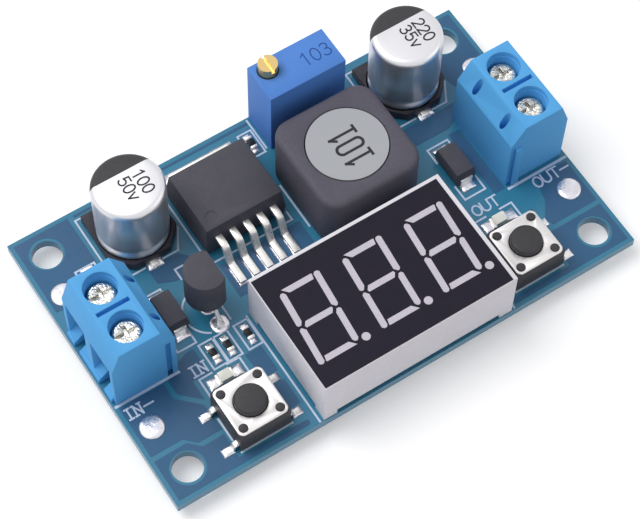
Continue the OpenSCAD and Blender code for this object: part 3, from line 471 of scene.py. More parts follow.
@kept
def lamp_resin():
    made = Finish("lamp_resin", linear("eef0e4"), 0.25, Transmission_Weight=0.25,
                  Subsurface_Weight=0.3, Subsurface_Radius=(0.0004,) * 3)
    made.mottle(0.35, 3, 0.5, other=linear("b9c9a4"))
    return made.sheen(0.2, 2, 0.18, 0.34).ripple(0.1, 2, 0.004)


@kept
def terminal_plastic():
    made = Finish("terminal_plastic", colours().terminal, 0.42,
                  Subsurface_Weight=0.08, Subsurface_Radius=(0.0002, 0.0004, 0.0008))
    made.mottle(3, 4, 0.35, 0.82)
    made.mottle(0.3, 3, 0.22, 1.15)
    made.sheen(0.4, 3, 0.36, 0.52)
    return made.ripple(0.8, 2, 0.012).ripple(0.08, 2, 0.003)


@kept
def trimmer_plastic():
    made = Finish("trimmer_plastic", colours().trimmer, 0.36,
                  Subsurface_Weight=0.06, Subsurface_Radius=(0.0002, 0.0003, 0.0007))
    made.mottle(2.2, 4, 0.4, 0.78)
    made.mottle(0.3, 3, 0.25, 1.2)
    made.sheen(0.4, 3, 0.3, 0.46)
    return made.ripple(0.7, 3, 0.02).ripple(0.09, 2, 0.003)


@kept
def brass():
    made = Finish("brass", linear("e0b070"), 0.24, 1.0)
    made.mottle(0.5, 3, 0.6, other=linear("a8743a"))
    made.sheen(0.2, 3, 0.16, 0.4)
    return made.ripple(0.05, 2, 0.004, (1, 1, 0.2)).ripple(0.3, 2, 0.012)


@kept
def seal_rubber():
    made = Finish("seal_rubber", linear("b23c28"), 0.55)
    made.mottle(0.3, 2, 0.5, 0.7)
    return made.ripple(0.08, 2, 0.004)


@kept
def wheel_plastic():
    made = Finish("wheel_plastic", linear("d9d4c4"), 0.4)
    made.mottle(0.8, 3, 0.5, 0.88)
    return made.sheen(0.4, 2, 0.34, 0.48).ripple(0.1, 2, 0.003)


@kept
def contact_gold():
    made = Finish("contact_gold", linear("e8c070"), 0.22, 1.0)
    made.mottle(0.5, 2, 0.5, 0.8)
    return made.ripple(0.06, 2, 0.003, (8, 1, 1))


@kept
def alumina():
    made = Finish("alumina", linear("e4e0d6"), 0.6)
    made.mottle(0.5, 4, 0.5, 0.9)
    return made.relief(made.grains(0.08), 0.005)


@kept
def shell_plastic():
    made = Finish("shell_plastic", colours().shell, 0.45,
                  Subsurface_Weight=0.1, Subsurface_Radius=(0.0006,) * 3)
    made.mottle(2.5, 4, 0.4, 0.9)
    made.tint(made.spread(made.noise(0.35, 4), 0, 0.3, 0.5, 0.75), 0.82)
    made.sheen(0.4, 3, 0.38, 0.56)
    return made.ripple(0.5, 3, 0.02).ripple(0.08, 2, 0.003)


@kept
def display_film():
    made = Finish("display_film", colours().film, 0.34, Specular_IOR_Level=0.12)
    made.mottle(3, 4, 0.5, 1.25)
    made.mottle(0.12, 3, 0.3, 1.35)
    return made.sheen(0.5, 3, 0.3, 0.44).ripple(0.1, 2, 0.002)


@kept
def bar_resin():
    made = Finish("bar_resin", colours().bars, 0.5,
                  Subsurface_Weight=0.2, Subsurface_Radius=(0.0004,) * 3)
    made.mottle(0.8, 3, 0.5, 0.9)
    made.mottle(0.13, 3, 0.45, 0.84)
    return made.sheen(0.2, 2, 0.44, 0.6).ripple(0.12, 2, 0.003)


@kept
def green_laminate():
    made = Finish("green_laminate", linear("2f5a34"), 0.4)
    made.mottle(0.3, 3, 0.5, 1.4, stretch=(5, 5, 1))
    return made.ripple(0.1, 2, 0.004)


@kept
def brushed_steel():
    made = Finish("brushed_steel", linear("e2dfdf"), 0.42, 0.7)
    made.mottle(0.12, 3, 0.4, 0.88, stretch=(9, 1, 1))
    made.sheen(0.1, 3, 0.36, 0.5, (12, 1, 1))
    return made.ripple(0.035, 3, 0.003, (30, 1, 1))


@kept
def button_black():
    made = Finish("button_black", linear("3a393c"), 0.48)
    made.mottle(0.7, 4, 0.4, 1.3)
    made.sheen(0.3, 3, 0.4, 0.6)
    return made.ripple(0.1, 2, 0.004).ripple(0.4, 2, 0.008)


# ---------------------------------------------------------------- pieces


def placed(name, data):
    """A new object in the scene."""
    made = bpy.data.objects.new(name, data)
    bpy.context.scene.collection.objects.link(made)
    return made


def finish_piece(name, mesh, body, slot, *finishes):
    """Makes an object of a mesh whose places are final, and lets it ride on a CAD body."""
    piece = placed(name, mesh)
    if finishes and mesh.materials:
        mesh.materials.clear()
    for made in finishes:
        mesh.materials.append(made)
    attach(piece, body)
    return piece


def evaluated_mesh(piece, name):
    """The piece's mesh with its modifiers applied."""
    bpy.context.view_layer.update()
    graph = bpy.context.evaluated_depsgraph_get()
    mesh = bpy.data.meshes.new_from_object(piece.evaluated_get(graph), depsgraph=graph)
    mesh.name = name
    return mesh


def slot_of(node):
    """The record's material slot that a CAD node has."""
    return FRAME["nodes"][node].data.materials[0].name


def carry(finish, *nodes):
    """Keeps CAD nodes as they are and gives them their finish."""
    for node in nodes:
        for slot in FRAME["nodes"][node].material_slots:
            slot.material = finish


SHARP = math.radians(28)


def merged(node):
    """A bmesh copy of a CAD node's mesh with its shared points made one."""
    shape = bmesh.new()
    shape.from_mesh(FRAME["nodes"][node].data)
    bmesh.ops.remove_doubles(shape, verts=shape.verts, dist=WELD)
    return shape


def copied(node):
    """A merged copy whose flat faces are whole and whose normals point outwards."""
    shape = merged(node)
    bmesh.ops.dissolve_limit(shape, angle_limit=math.radians(0.3), verts=shape.verts,
                             edges=shape.edges, delimit={"NORMAL"})
    bmesh.ops.recalc_face_normals(shape, faces=shape.faces)
    return shape


def mesh_of(shape, name):
    """Turns a bmesh into a mesh and frees it."""
    mesh = bpy.data.meshes.new(name)
    shape.to_mesh(mesh)
    shape.free()
    return mesh


def eased(finish, width, *nodes):
    """Stands copies with rounded edges in for CAD nodes."""
    for node in nodes:
        source = FRAME["nodes"][node]
        slot = slot_of(node)
        mesh = mesh_of(copied(node), node)
        rough = placed(node + "_rough", mesh)
        mesh.shade_smooth()
        bevel = rough.modifiers.new("Rounded edges", "BEVEL")
        bevel.width = width
        bevel.segments = 2
        bevel.limit_method = "ANGLE"
        bevel.angle_limit = SHARP
        bevel.harden_normals = True
        final = evaluated_mesh(rough, node + "_eased")
        bpy.data.objects.remove(rough)
        piece = finish_piece(node + "_eased", final, source["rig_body"], slot, finish)
        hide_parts(node)


class Nodes:
    """A Geometry Nodes tree under construction."""

    def __init__(self, name, inputs):
        self.tree = bpy.data.node_groups.new(name, "GeometryNodeTree")
        face = self.tree.interface
        for label, kind in inputs.items():
            face.new_socket(label, in_out="INPUT", socket_type=kind)
        face.new_socket("Geometry", in_out="OUTPUT", socket_type="NodeSocketGeometry")
        self.given = self.tree.nodes.new("NodeGroupInput").outputs
        self.result = self.tree.nodes.new("NodeGroupOutput").inputs[0]

    def add(self, kind, links=None, values=None, **settings):
        """Adds a node; links and values are given by socket name or number."""
        made = self.tree.nodes.new(kind)
        for key, value in settings.items():
            setattr(made, key, value)
        for socket, source in (links or {}).items():
            self.tree.links.new(source, made.inputs[socket])
        for socket, value in (values or {}).items():
            made.inputs[socket].default_value = value
        return made.outputs

    def end(self, geometry, ink):
        """Realizes the instances, sets the finish and closes the tree."""
        real = self.add("GeometryNodeRealizeInstances", {0: geometry})
        painted = self.add("GeometryNodeSetMaterial", {"Geometry": real[0], "Material": ink})
        self.tree.links.new(painted[0], self.result)
        return self.tree


def grown(tree, seed_mesh, name, values):
    """Runs a Geometry Nodes tree on a mesh and returns the plain mesh that it makes."""
    holder = placed(name + "_seed", seed_mesh)
    modifier = holder.modifiers.new(name, "NODES")
    modifier.node_group = tree
    for item in tree.interface.items_tree:
        if item.in_out == "INPUT" and item.name in values:
            modifier[item.identifier] = values[item.name]
    mesh = evaluated_mesh(holder, name)
    bpy.data.objects.remove(holder)
    return mesh


def line_tree():
    """Lays a flat bar along every edge of the input, with its ends filling the corners."""
    made = Nodes("Printed lines", {"Lines": "NodeSocketGeometry", "Width": "NodeSocketFloat",
                                   "Height": "NodeSocketFloat", "Ink": "NodeSocketMaterial"})
    ends = made.add("GeometryNodeInputMeshEdgeVertices")
    run = made.add("ShaderNodeVectorMath", {0: ends["Position 2"], 1: ends["Position 1"]},
                   operation="SUBTRACT")
    kept_run = made.add("GeometryNodeStoreNamedAttribute",
                        {"Geometry": made.given["Lines"], "Value": run[0]}, {"Name": "run"},
                        data_type="FLOAT_VECTOR", domain="EDGE")
    flat = made.add("GeometryNodeMeshToPoints", {"Mesh": kept_run[0]}, mode="EDGES")
    # Neighbouring bars lie on slightly different levels, so that their faces never coincide.
    levels, level_share = 5.0, 0.04
    level = made.add("ShaderNodeMath", {0: made.add("GeometryNodeInputIndex")[0]}, {1: levels},
                     operation="MODULO")
    share = made.add("ShaderNodeMath", {0: level[0], 1: made.given["Height"]},
                     operation="MULTIPLY")
    fine = made.add("ShaderNodeMath", {0: share[0]}, {1: level_share}, operation="MULTIPLY")
    step = made.add("ShaderNodeCombineXYZ", {"Z": fine[0]})
    points = made.add("GeometryNodeSetPosition", {"Geometry": flat[0], "Offset": step[0]})
    named = made.add("GeometryNodeInputNamedAttribute", values={"Name": "run"},
                     data_type="FLOAT_VECTOR")
    far = made.add("ShaderNodeVectorMath", {0: named[0]}, operation="LENGTH")
    long = made.add("ShaderNodeMath", {0: far["Value"], 1: made.given["Width"]}, operation="ADD")
    size = made.add("ShaderNodeCombineXYZ", {"X": long[0], "Y": made.given["Width"],
                                             "Z": made.given["Height"]})
    turn = made.add("FunctionNodeAlignRotationToVector", {"Vector": named[0]}, axis="X")
    bar = made.add("GeometryNodeMeshCube", values={"Size": (1, 1, 1)})
    bars = made.add("GeometryNodeInstanceOnPoints",
                    {"Points": points[0], "Instance": bar[0], "Rotation": turn[0],
                     "Scale": size[0]})
    return made.end(bars[0], made.given["Ink"])


def heap_tree():
    """Sets a domed heap of solder on every point, of that point's size, round or square."""
    made = Nodes("Solder heaps", {"Pads": "NodeSocketGeometry", "Rise": "NodeSocketFloat",
                                  "Squareness": "NodeSocketFloat", "Unevenness": "NodeSocketFloat",
                                  "Seed": "NodeSocketFloat", "Solder": "NodeSocketMaterial"})

    def maths(operation, first, second):
        links = {i: v for i, v in enumerate((first, second)) if not isinstance(v, float)}
        values = {i: v for i, v in enumerate((first, second)) if isinstance(v, float)}
        return made.add("ShaderNodeMath", links, values, operation=operation)[0]

    def attribute(name, kind):
        return made.add("GeometryNodeInputNamedAttribute", values={"Name": name}, data_type=kind)[0]

    def heaps(grid, chosen):
        return made.add("GeometryNodeInstanceOnPoints",
                        {"Points": made.given["Pads"], "Instance": grid,
                         "Scale": attribute("size", "FLOAT_VECTOR"), "Selection": chosen})[0]

    across, waves_per_metre = 13, 1100.0
    block = made.add("GeometryNodeMeshCube", values={"Size": (2, 2, 1), "Vertices X": across,
                                                     "Vertices Y": across, "Vertices Z": 2})
    axes = made.add("ShaderNodeSeparateXYZ", {0: made.add("GeometryNodeInputPosition")[0]})
    falls = [maths("SUBTRACT", 1.0, maths("POWER", maths("ABSOLUTE", axes[axis], 0.0),
                                          made.given["Squareness"])) for axis in "XY"]
    dome = maths("MULTIPLY", falls[0], falls[1])
    lift = made.add("ShaderNodeCombineXYZ", {"Z": maths("MULTIPLY", dome, made.given["Rise"])})
    on_top = made.add("FunctionNodeCompare", {0: axes["Z"]}, {1: 0.0}, operation="GREATER_THAN")
    square = made.add("GeometryNodeSetPosition",
                      {"Geometry": block[0], "Selection": on_top[0], "Offset": lift[0]})
    bent = []
    for own, other in ("XY", "YX"):
        half_square = maths("MULTIPLY", maths("MULTIPLY", axes[other], axes[other]), 0.5)
        bent.append(maths("MULTIPLY", axes[own], maths("SQRT", maths("SUBTRACT", 1.0, half_square),
                                                       0.0)))
    disc_place = made.add("ShaderNodeCombineXYZ", {"X": bent[0], "Y": bent[1], "Z": axes["Z"]})
    disc = made.add("GeometryNodeSetPosition",
                    {"Geometry": square[0], "Position": disc_place[0]})
    is_round = attribute("round", "BOOLEAN")
    is_square = made.add("FunctionNodeBooleanMath", {0: is_round}, operation="NOT")[0]
    both = made.add("GeometryNodeJoinGeometry")
    joint = made.tree.nodes[-1]
    for heap in (heaps(square[0], is_square), heaps(disc[0], is_round)):
        made.tree.links.new(heap, joint.inputs[0])
    real = made.add("GeometryNodeRealizeInstances", {0: both[0]})
    wobble = made.add("ShaderNodeTexNoise", {"W": made.given["Seed"]},
                      {"Scale": waves_per_metre, "Detail": 1.0}, noise_dimensions="4D")
    centred = made.add("ShaderNodeVectorMath", {0: wobble["Color"]}, {1: (0.5, 0.5, 0.5)},
                       operation="SUBTRACT")
    small = made.add("ShaderNodeVectorMath", {0: centred[0], "Scale": made.given["Unevenness"]},
                     operation="SCALE")
    flat = made.add("ShaderNodeVectorMath", {0: small[0]}, {1: (1.0, 1.0, 0.0)},
                    operation="MULTIPLY")
    uneven = made.add("GeometryNodeSetPosition", {"Geometry": real[0], "Offset": flat[0]})
    smooth = made.add("GeometryNodeSetShadeSmooth", {"Geometry": uneven[0]})
    return made.end(smooth[0], made.given["Solder"])


def path_mesh(name, paths, height_mm):
    """A mesh of open edge runs; paths are lists of points in millimetres, at one height."""
    verts, edges = [], []
    for path in paths:
        first = len(verts)
        verts += [(x * MM, y * MM, height_mm * MM) for x, y in path]
        edges += [(first + i, first + i + 1) for i in range(len(path) - 1)]
    mesh = bpy.data.meshes.new(name)
    mesh.from_pydata(verts, edges, [])
    return mesh


def oval(centre, wide, high, start=0, stop=360, steps=20):
    """Points on an oval, from one angle in degrees to another."""
    turns = [math.radians(start + (stop - start) * i / steps) for i in range(steps + 1)]
    return [(centre[0] + wide / 2 * math.cos(turn), centre[1] + high / 2 * math.sin(turn))
            for turn in turns]


# Pen strokes of each sign, one unit high, with the room that it takes.
LETTERS = {
    "I": (0.5, [[(0.25, 0), (0.25, 1)], [(0.06, 0), (0.44, 0)], [(0.06, 1), (0.44, 1)]]),
    "N": (0.84, [[(0.14, 0), (0.14, 1), (0.7, 0), (0.7, 1)], [(0, 0), (0.28, 0)],
                 [(0, 1), (0.14, 1)], [(0.56, 1), (0.84, 1)]]),
    "O": (0.78, [oval((0.39, 0.5), 0.78, 1)]),
    "U": (0.72, [[(0, 1), *oval((0.36, 0.36), 0.72, 0.72, 180, 360, 10), (0.72, 1)]]),
    "T": (0.76, [[(0, 1), (0.76, 1)], [(0.38, 1), (0.38, 0)]]),
    "-": (0.85, [[(0, 0.46), (0.85, 0.46)]]),
    "0": (0.6, [oval((0.3, 0.5), 0.6, 1)]),
    "1": (0.6, [[(0.12, 0.8), (0.36, 1), (0.36, 0)]]),
    "2": (0.6, [[*oval((0.3, 0.72), 0.56, 0.56, 165, -40, 10), (0.02, 0), (0.6, 0)]]),
    "3": (0.6, [[*oval((0.27, 0.76), 0.5, 0.48, 150, -90, 10),
                 *oval((0.28, 0.27), 0.6, 0.54, 90, -150, 12)]]),
    "5": (0.6, [[(0.54, 1), (0.1, 1), (0.06, 0.56), *oval((0.28, 0.31), 0.6, 0.62, 125, -150, 12)]]),
    "v": (0.56, [[(0, 0.7), (0.28, 0), (0.56, 0.7)]]),
}
SERIF_LETTERS = {
    "0": (0.36, [[*oval((0.18, 0.82), 0.36, 0.36, 0, 180, 8),
                  *oval((0.18, 0.18), 0.36, 0.36, 180, 360, 8), (0.36, 0.82)]]),
    "1": (0.3, [[(0.02, 0.8), (0.15, 1), (0.15, 0)], [(0.02, 0), (0.28, 0)]]),
}


def strokes(words, place, height, turn=0.0, gap=0.16, signs=None):
    """Pen strokes of a line of letters centred on a place, in millimetres."""
    runs, reach = [], 0.0
    for sign in words:
        wide, pen = (signs or LETTERS)[sign]
        runs += [[(x + reach, y) for x, y in run] for run in pen]
        reach += wide + gap
    half = (reach - gap) / 2
    across, up = math.cos(math.radians(turn)) * height, math.sin(math.radians(turn)) * height
    return [[(place[0] + (x - half) * across - (y - 0.5) * up,
              place[1] + (x - half) * up + (y - 0.5) * across) for x, y in run] for run in runs]


def frame_points(low, high, margin):
    """The closed outline of a rectangle, with a margin along each axis outside it."""
    x0, y0, x1, y1 = low[0] - margin[0], low[1] - margin[1], high[0] + margin[0], high[1] + margin[1]
    return [(x0, y0), (x1, y0), (x1, y1), (x0, y1), (x0, y0)]


def printed(name, runs, height_mm, width, ink, slot, body="board"):
    """A piece of printed lines that lie on a face at a height in millimetres."""
    rise = sizes().ink_height
    mesh = grown(line_tree(), path_mesh(name, runs, height_mm + rise / MM / 2), name,
                 {"Width": width, "Height": rise, "Ink": ink})
    return finish_piece(name, mesh, body, slot)


def plate(outline, bottom_mm, top_mm):
    """A flat closed plate with a straight-sided outline, in millimetres."""
    shape = bmesh.new()
    face = shape.faces.new([shape.verts.new((x * MM, y * MM, bottom_mm * MM)) for x, y in outline])
    made = bmesh.ops.extrude_face_region(shape, geom=[face])
    raised = [v for v in made["geom"] if isinstance(v, bmesh.types.BMVert)]
    bmesh.ops.translate(shape, verts=raised, vec=(0, 0, (top_mm - bottom_mm) * MM))
    bmesh.ops.recalc_face_normals(shape, faces=shape.faces)
    return mesh_of(shape, "plate")


def islands(node):
    """Lowest and highest corner, in millimetres, of each separate solid of a CAD node."""
    shape = merged(node)
    left, found = set(shape.verts), []
    while left:
        group, front = set(), [left.pop()]
        while front:
            vert = front.pop()
            group.add(vert)
            near = {edge.other_vert(vert) for edge in vert.link_edges} & left
            left -= near
            front += near
        corners = [tuple(f(v.co[axis] for v in group) / MM for axis in range(3))
                   for f in (min, max)]
        found.append(corners)
    shape.free()
    return sorted(found)


# ---------------------------------------------------------------- operators


class ConverterStep(bpy.types.Operator):
    """Base of the steps that finish the board."""

    bl_idname = "converter.step"
    bl_label = "Step"
    bl_options = {"REGISTER", "UNDO"}

    def execute(self, context):
        self.make(context)
        return {"FINISHED"}

    def make(self, context):
        raise NotImplementedError


class CONVERTER_OT_board(ConverterStep):
    """Finish the circuit board and raise the mask over its copper pours"""

    bl_idname = "converter.board"
    bl_label = "Circuit board"

    # Copper pours of the component side, in millimetres from the board's middle.
    POURS = {
        "input_minus": [(-28.2, -5.2), (-22.9, -5.2), (-22.9, -7.2), (-20.6, -9.5), (-20.4, -12.8),
                        (-23.3, -12.8), (-24.5, -11.6), (-28.2, -11.6)],
        "input_plus": [(-22.3, -4.6), (-19.0, -3.4), (-18.2, -3.4), (-18.2, -6.6), (-20.2, -6.6),
                       (-20.2, -9.0), (-22.3, -7.0)],
        "front_left": [(-28.2, -12.2), (-24.3, -12.2), (-23.1, -13.4), (-20.6, -13.4),
                       (-20.6, -16.4), (-12.4, -16.6), (-12.4, -17.2), (-28.2, -17.2)],
        "back_left": [(-28.2, 17.2), (-28.2, 8.0), (-24.6, 7.2), (-21.6, 7.2), (-21.6, 17.2)],
        "switch_node": [(-17.4, 7.2), (-13.7, 7.2), (-12.6, 6.0), (-12.6, 4.4), (-15.6, 4.4),
                        (-17.4, 5.2)],
        "meter_link": [(-14.0, -6.9), (-12.0, -6.9), (-12.0, -10.2), (-13.8, -10.2)],
        "meter_ground": [(-13.6, -11.4), (-12.0, -11.4), (-12.0, -14.6), (-13.6, -14.6)],
        "drive": [(-10.8, 3.6), (-0.6, 3.6), (-0.6, -0.9), (-10.8, -0.9)],
        "output_plus": [(13.2, 7.1), (13.2, 4.6), (19.8, 4.6), (23.6, 7.1)],
        "output_back": [(22.9, 17.2), (28.2, 17.2), (28.2, 6.2), (24.2, 6.2), (23.2, 9.6),
                        (22.9, 12.0)],
        "output_link": [(19.2, 3.9), (20.6, 3.9), (20.6, -5.0), (19.2, -5.0)],
        "output_minus": [(24.1, -5.7), (28.2, -5.7), (28.2, -11.5), (22.4, -11.5), (22.1, -10.4),
                         (23.4, -8.6)],
        "front_right": [(21.0, -12.1), (28.2, -12.1), (28.2, -17.2), (13.4, -17.2), (13.4, -16.5),
                        (21.0, -16.5)],
        "back_edge": [(-20.9, 17.2), (1.2, 17.2), (1.2, 16.9), (-20.9, 16.9)],
    }
    # Mounting holes: distance from the board's edges, radius, and room round them and the joints.
    HOLE_INSET = 3.1
    HOLE_RADIUS = 1.6
    ROOM = 0.35
    PLANE_INSET = 0.5

    def make(self, context):
        carry(solder_mask(), "circuit_board")
        rise = sizes().copper_height / MM
        meshes = [self.pour(outline, BOARD_TOP, rise) for outline in self.POURS.values()]
        finish_piece("copper_pours", self.drilled(meshes), "board", "solder_mask",
                     mask_over_copper())
        low, high = span("circuit_board")
        inset = (-self.PLANE_INSET, -self.PLANE_INSET)
        behind = frame_points(low, high, inset)[:4]
        finish_piece("copper_plane", self.drilled([self.pour(behind, low.z, -rise)]), "board",
                     "solder_mask", mask_over_copper())

    @staticmethod
    def pour(outline, height, rise):
        """A plate on one side of the board, up or down from its face."""
        return plate(outline, min(height, height + rise), max(height, height + rise))

    def drilled(self, meshes):
        """The pours with the mounting holes and a ring round each joint cut out of them."""
        shape = bmesh.new()
        for mesh in meshes:
            shape.from_mesh(mesh)
        work = placed("pours", mesh_of(shape, "pours"))
        cutters = bmesh.new()
        for (x, y), reach in self.cleared():
            at = Matrix.Translation(Vector((x, y, BOARD_TOP / 2)) * MM)
            bmesh.ops.create_cone(cutters, cap_ends=True, segments=32, radius1=reach * MM,
                                  radius2=reach * MM, depth=4 * MM, matrix=at)
        tool = placed("pour_cutters", mesh_of(cutters, "pour_cutters"))
        cut = work.modifiers.new("Clearance", "BOOLEAN")
        cut.operation = "DIFFERENCE"
        cut.solver = "EXACT"
        cut.use_self = True
        cut.object = tool
        mesh = evaluated_mesh(work, "copper")
        bpy.data.objects.remove(work)
        bpy.data.objects.remove(tool)
        return mesh

    def cleared(self):
        """Centre and radius, in millimetres, of what the pours keep away from."""
        low, high = span("circuit_board")
        inset = self.HOLE_INSET
        found = [((x, y), self.HOLE_RADIUS + self.ROOM) for x in (low.x + inset, high.x - inset)
                 for y in (low.y + inset, high.y - inset)]
        for near, far in islands("solder_joints"):
            found.append((((near[0] + far[0]) / 2, (near[1] + far[1]) / 2),
                          (far[0] - near[0]) / 2 + self.ROOM))
        return found


class CONVERTER_OT_print(ConverterStep):
    """Print the outlines and the words on the board, placed from the parts' own corners"""

    bl_idname = "converter.print"
    bl_label = "Board print"

    def make(self, context):
        size = sizes()
        lines = (self.capacitors() + self.diodes() + self.regulator() + self.chips()
                 + self.buttons() + self.rest())
        level = BOARD_TOP + size.copper_height / MM
        printed("board_outlines", lines, level, size.line_width, print_ink(), "solder_mask")
        printed("terminal_lines", self.terminals(), level, size.bar_width, print_ink(),
                "solder_mask")
        height = size.text_height / MM
        words = [run for word, x, y in self.words() for run in strokes(word, (x, y), height)]
        pen = size.line_width * 0.9
        printed("board_words", words, level, pen, print_ink(), "solder_mask")

    @staticmethod
    def capacitors():
        """An outline round each base, with two cut corners, open at the leads."""
        found = []
        chamfer = (1.35, 2.3)
        for end in ENDS:
            low, high = span(end + "_capacitor_base")
            left, right, front, back = low.x - 0.5, high.x + 0.1, low.y - 0.27, high.y + 0.4
            lead, room = (low.x + high.x) / 2 - 0.15, 1.05
            for side, near in ((left, -1), (right, 1)):
                found.append([(lead + near * room, front), (side - near * chamfer[0], front),
                              (side, front + chamfer[1]), (side, back), (lead + near * room, back)])
        return found

    @staticmethod
    def diodes():
        """A bracket round each end of the two diodes."""
        found = []
        for end, left, right, front, back in (("input", 1.4, 0.85, 1.9, 1.2),
                                              ("output", 1.25, 1.42, 1.75, 1.3)):
            low, high = span(end + "_diode_body")
            centre = middle(end + "_diode_body").x
            x0, x1, arm = centre - left, centre + right, 1.9
            for edge, way in ((low.y - front, 1), (high.y + back, -1)):
                found.append([(x0, edge + way * arm), (x0, edge), (x1, edge), (x1, edge + way * arm)])
        return found

    @staticmethod
    def regulator():
        """The line under the bent leads, and one beside the inductor."""
        low, high = span("regulator_body")
        x0, y0 = low.x - 0.28, low.y - 1.08
        coil = span("inductor_shield")[0]
        return [[(x0, high.y), (x0, y0), (high.x + 0.1, y0), (high.x + 0.1, y0 + 1.1)],
                [(coil.x - 0.15, coil.y + 9.5), (coil.x - 0.15, coil.y + 3.6)]]

    @staticmethod
    def chips():
        """Frames round the chips and brackets round the lamps."""
        found = []
        for low, high in islands("chip_resistors"):
            x, y = (low[0] + high[0]) / 2, (low[1] + high[1]) / 2
            found.append(frame_points((x, y), (x, y), (0.84, 1.62)))
        low, high = span("chip_capacitor")
        found.append(frame_points(low, high, (0.56, 0.95)))
        for end in ENDS:
            low, high = span(end + "_lamp")
            back, front = high.y + 0.6, low.y - 0.6
            for edge, way in ((low.x - 1.75, 1), (high.x + 1.75, -1)):
                found.append([(edge + way * 1.5, back), (edge, back), (edge, front),
                              (edge + way * 1.5, front)])
        return found

    @staticmethod
    def buttons():
        """Lines in front of the push buttons and beside them."""
        found = []
        for end in ENDS:
            low, high = span(end + "_button_base")
            found.append([(low.x, low.y - 0.05), (high.x + 0.15, low.y - 0.05)])
            for x in (low.x - 0.1, high.x + 0.1):
                found.append([(x, low.y + 1.6), (x, high.y - 1.6)])
        return found

    @staticmethod
    def rest():
        """The arc of the three-lead part, and the lines beside the display and the trimmer."""
        centre = (span("meter_supply_body")[1].x - 1.35, -0.3)
        round_back = oval(centre, 5.7, 5.7, 118, 242, 24)
        tab = [(centre[0] + 1.3, y) for y in (-2.5, -0.6)]
        corner = [(-14.05, 5.64), (-15.0, 5.64), (-15.0, 4.3)]
        shell_low, shell_high = span("display_shell")
        left = [(shell_low.x - 0.45, shell_low.y + 0.1), (shell_low.x - 0.45, shell_high.y - 0.3)]
        right = [(shell_high.x + 0.45, shell_low.y + 0.1), (shell_high.x + 0.45, shell_low.y + 1.4)]
        case = span("trimmer_case")[0]
        beside = [(case.x - 0.4, 17.35), (case.x - 0.4, case.y + 0.4)]
        return [round_back, tab, corner, left, right, beside]

    @staticmethod
    def terminals():
        """The heavy line in front of each terminal."""
        found = []
        for end in ENDS:
            low, high = span(end + "_terminal_housing")
            found.append([(low.x + 0.1, low.y - 0.2), (high.x - 0.1, low.y - 0.2)])
        return found

    @staticmethod
    def words():
        """Each word with the place of its middle."""
        front = span("input_terminal_housing")[0].y
        return [("IN-", -26.4, front - 1.6), ("IN", -18.95, front - 1.05),
                ("OUT", 17.5, front - 1.0), ("OUT-", 25.8, front - 1.6)]


class CONVERTER_OT_solder(ConverterStep):
    """Heap solder on the pads and finish the joints of the leads"""

    bl_idname = "converter.solder"
    bl_label = "Solder"

    # Width over which a pad counts as a round one, and the base of every heap.
    ROUND_MIN = 1.9
    HEAP_BASE = 0.1

    def make(self, context):
        carry(bright_solder(), "solder_joints")
        seeds, pad_sizes, rounds = [], [], []
        base = self.HEAP_BASE
        for low, high in islands("solder_pads"):
            wide, deep = high[0] - low[0], high[1] - low[1]
            seeds.append([(low[0] + high[0]) / 2 * MM, (low[1] + high[1]) / 2 * MM,
                          (low[2] + base / 2) * MM])
            pad_sizes.append([wide / 2 * MM, deep / 2 * MM, base * MM])
            rounds.append(abs(wide - deep) < 0.02 and wide > self.ROUND_MIN)
        mesh = bpy.data.meshes.new("pads")
        mesh.from_pydata(seeds, [], [])
        size = mesh.attributes.new("size", "FLOAT_VECTOR", "POINT")
        shape = mesh.attributes.new("round", "BOOLEAN", "POINT")
        for item, value in zip(size.data, pad_sizes):
            item.vector = value
        for item, value in zip(shape.data, rounds):
            item.value = value
        made = grown(heap_tree(), mesh, "solder_heaps",
                     {"Rise": sizes().solder_rise / MM / base, "Squareness": 4.0,
                      "Unevenness": 0.08 * MM, "Seed": 3.0, "Solder": bright_solder()})
        piece = finish_piece("solder_heaps", made, "board", "solder")
        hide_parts("solder_pads")


class CONVERTER_OT_terminals(ConverterStep):
    """Finish the two screw terminals"""

    bl_idname = "converter.terminals"
    bl_label = "Screw terminals"

    def make(self, context):
        size = sizes()
        for end in ENDS:
            eased(terminal_plastic(), size.moulding_edge, end + "_terminal_housing")
            for pole in POLES:
                eased(nickel_plate(), size.fine_edge, f"{end}_{pole}_screw", f"{end}_{pole}_cage")
        carry(tin_plate(), "terminal_pins")


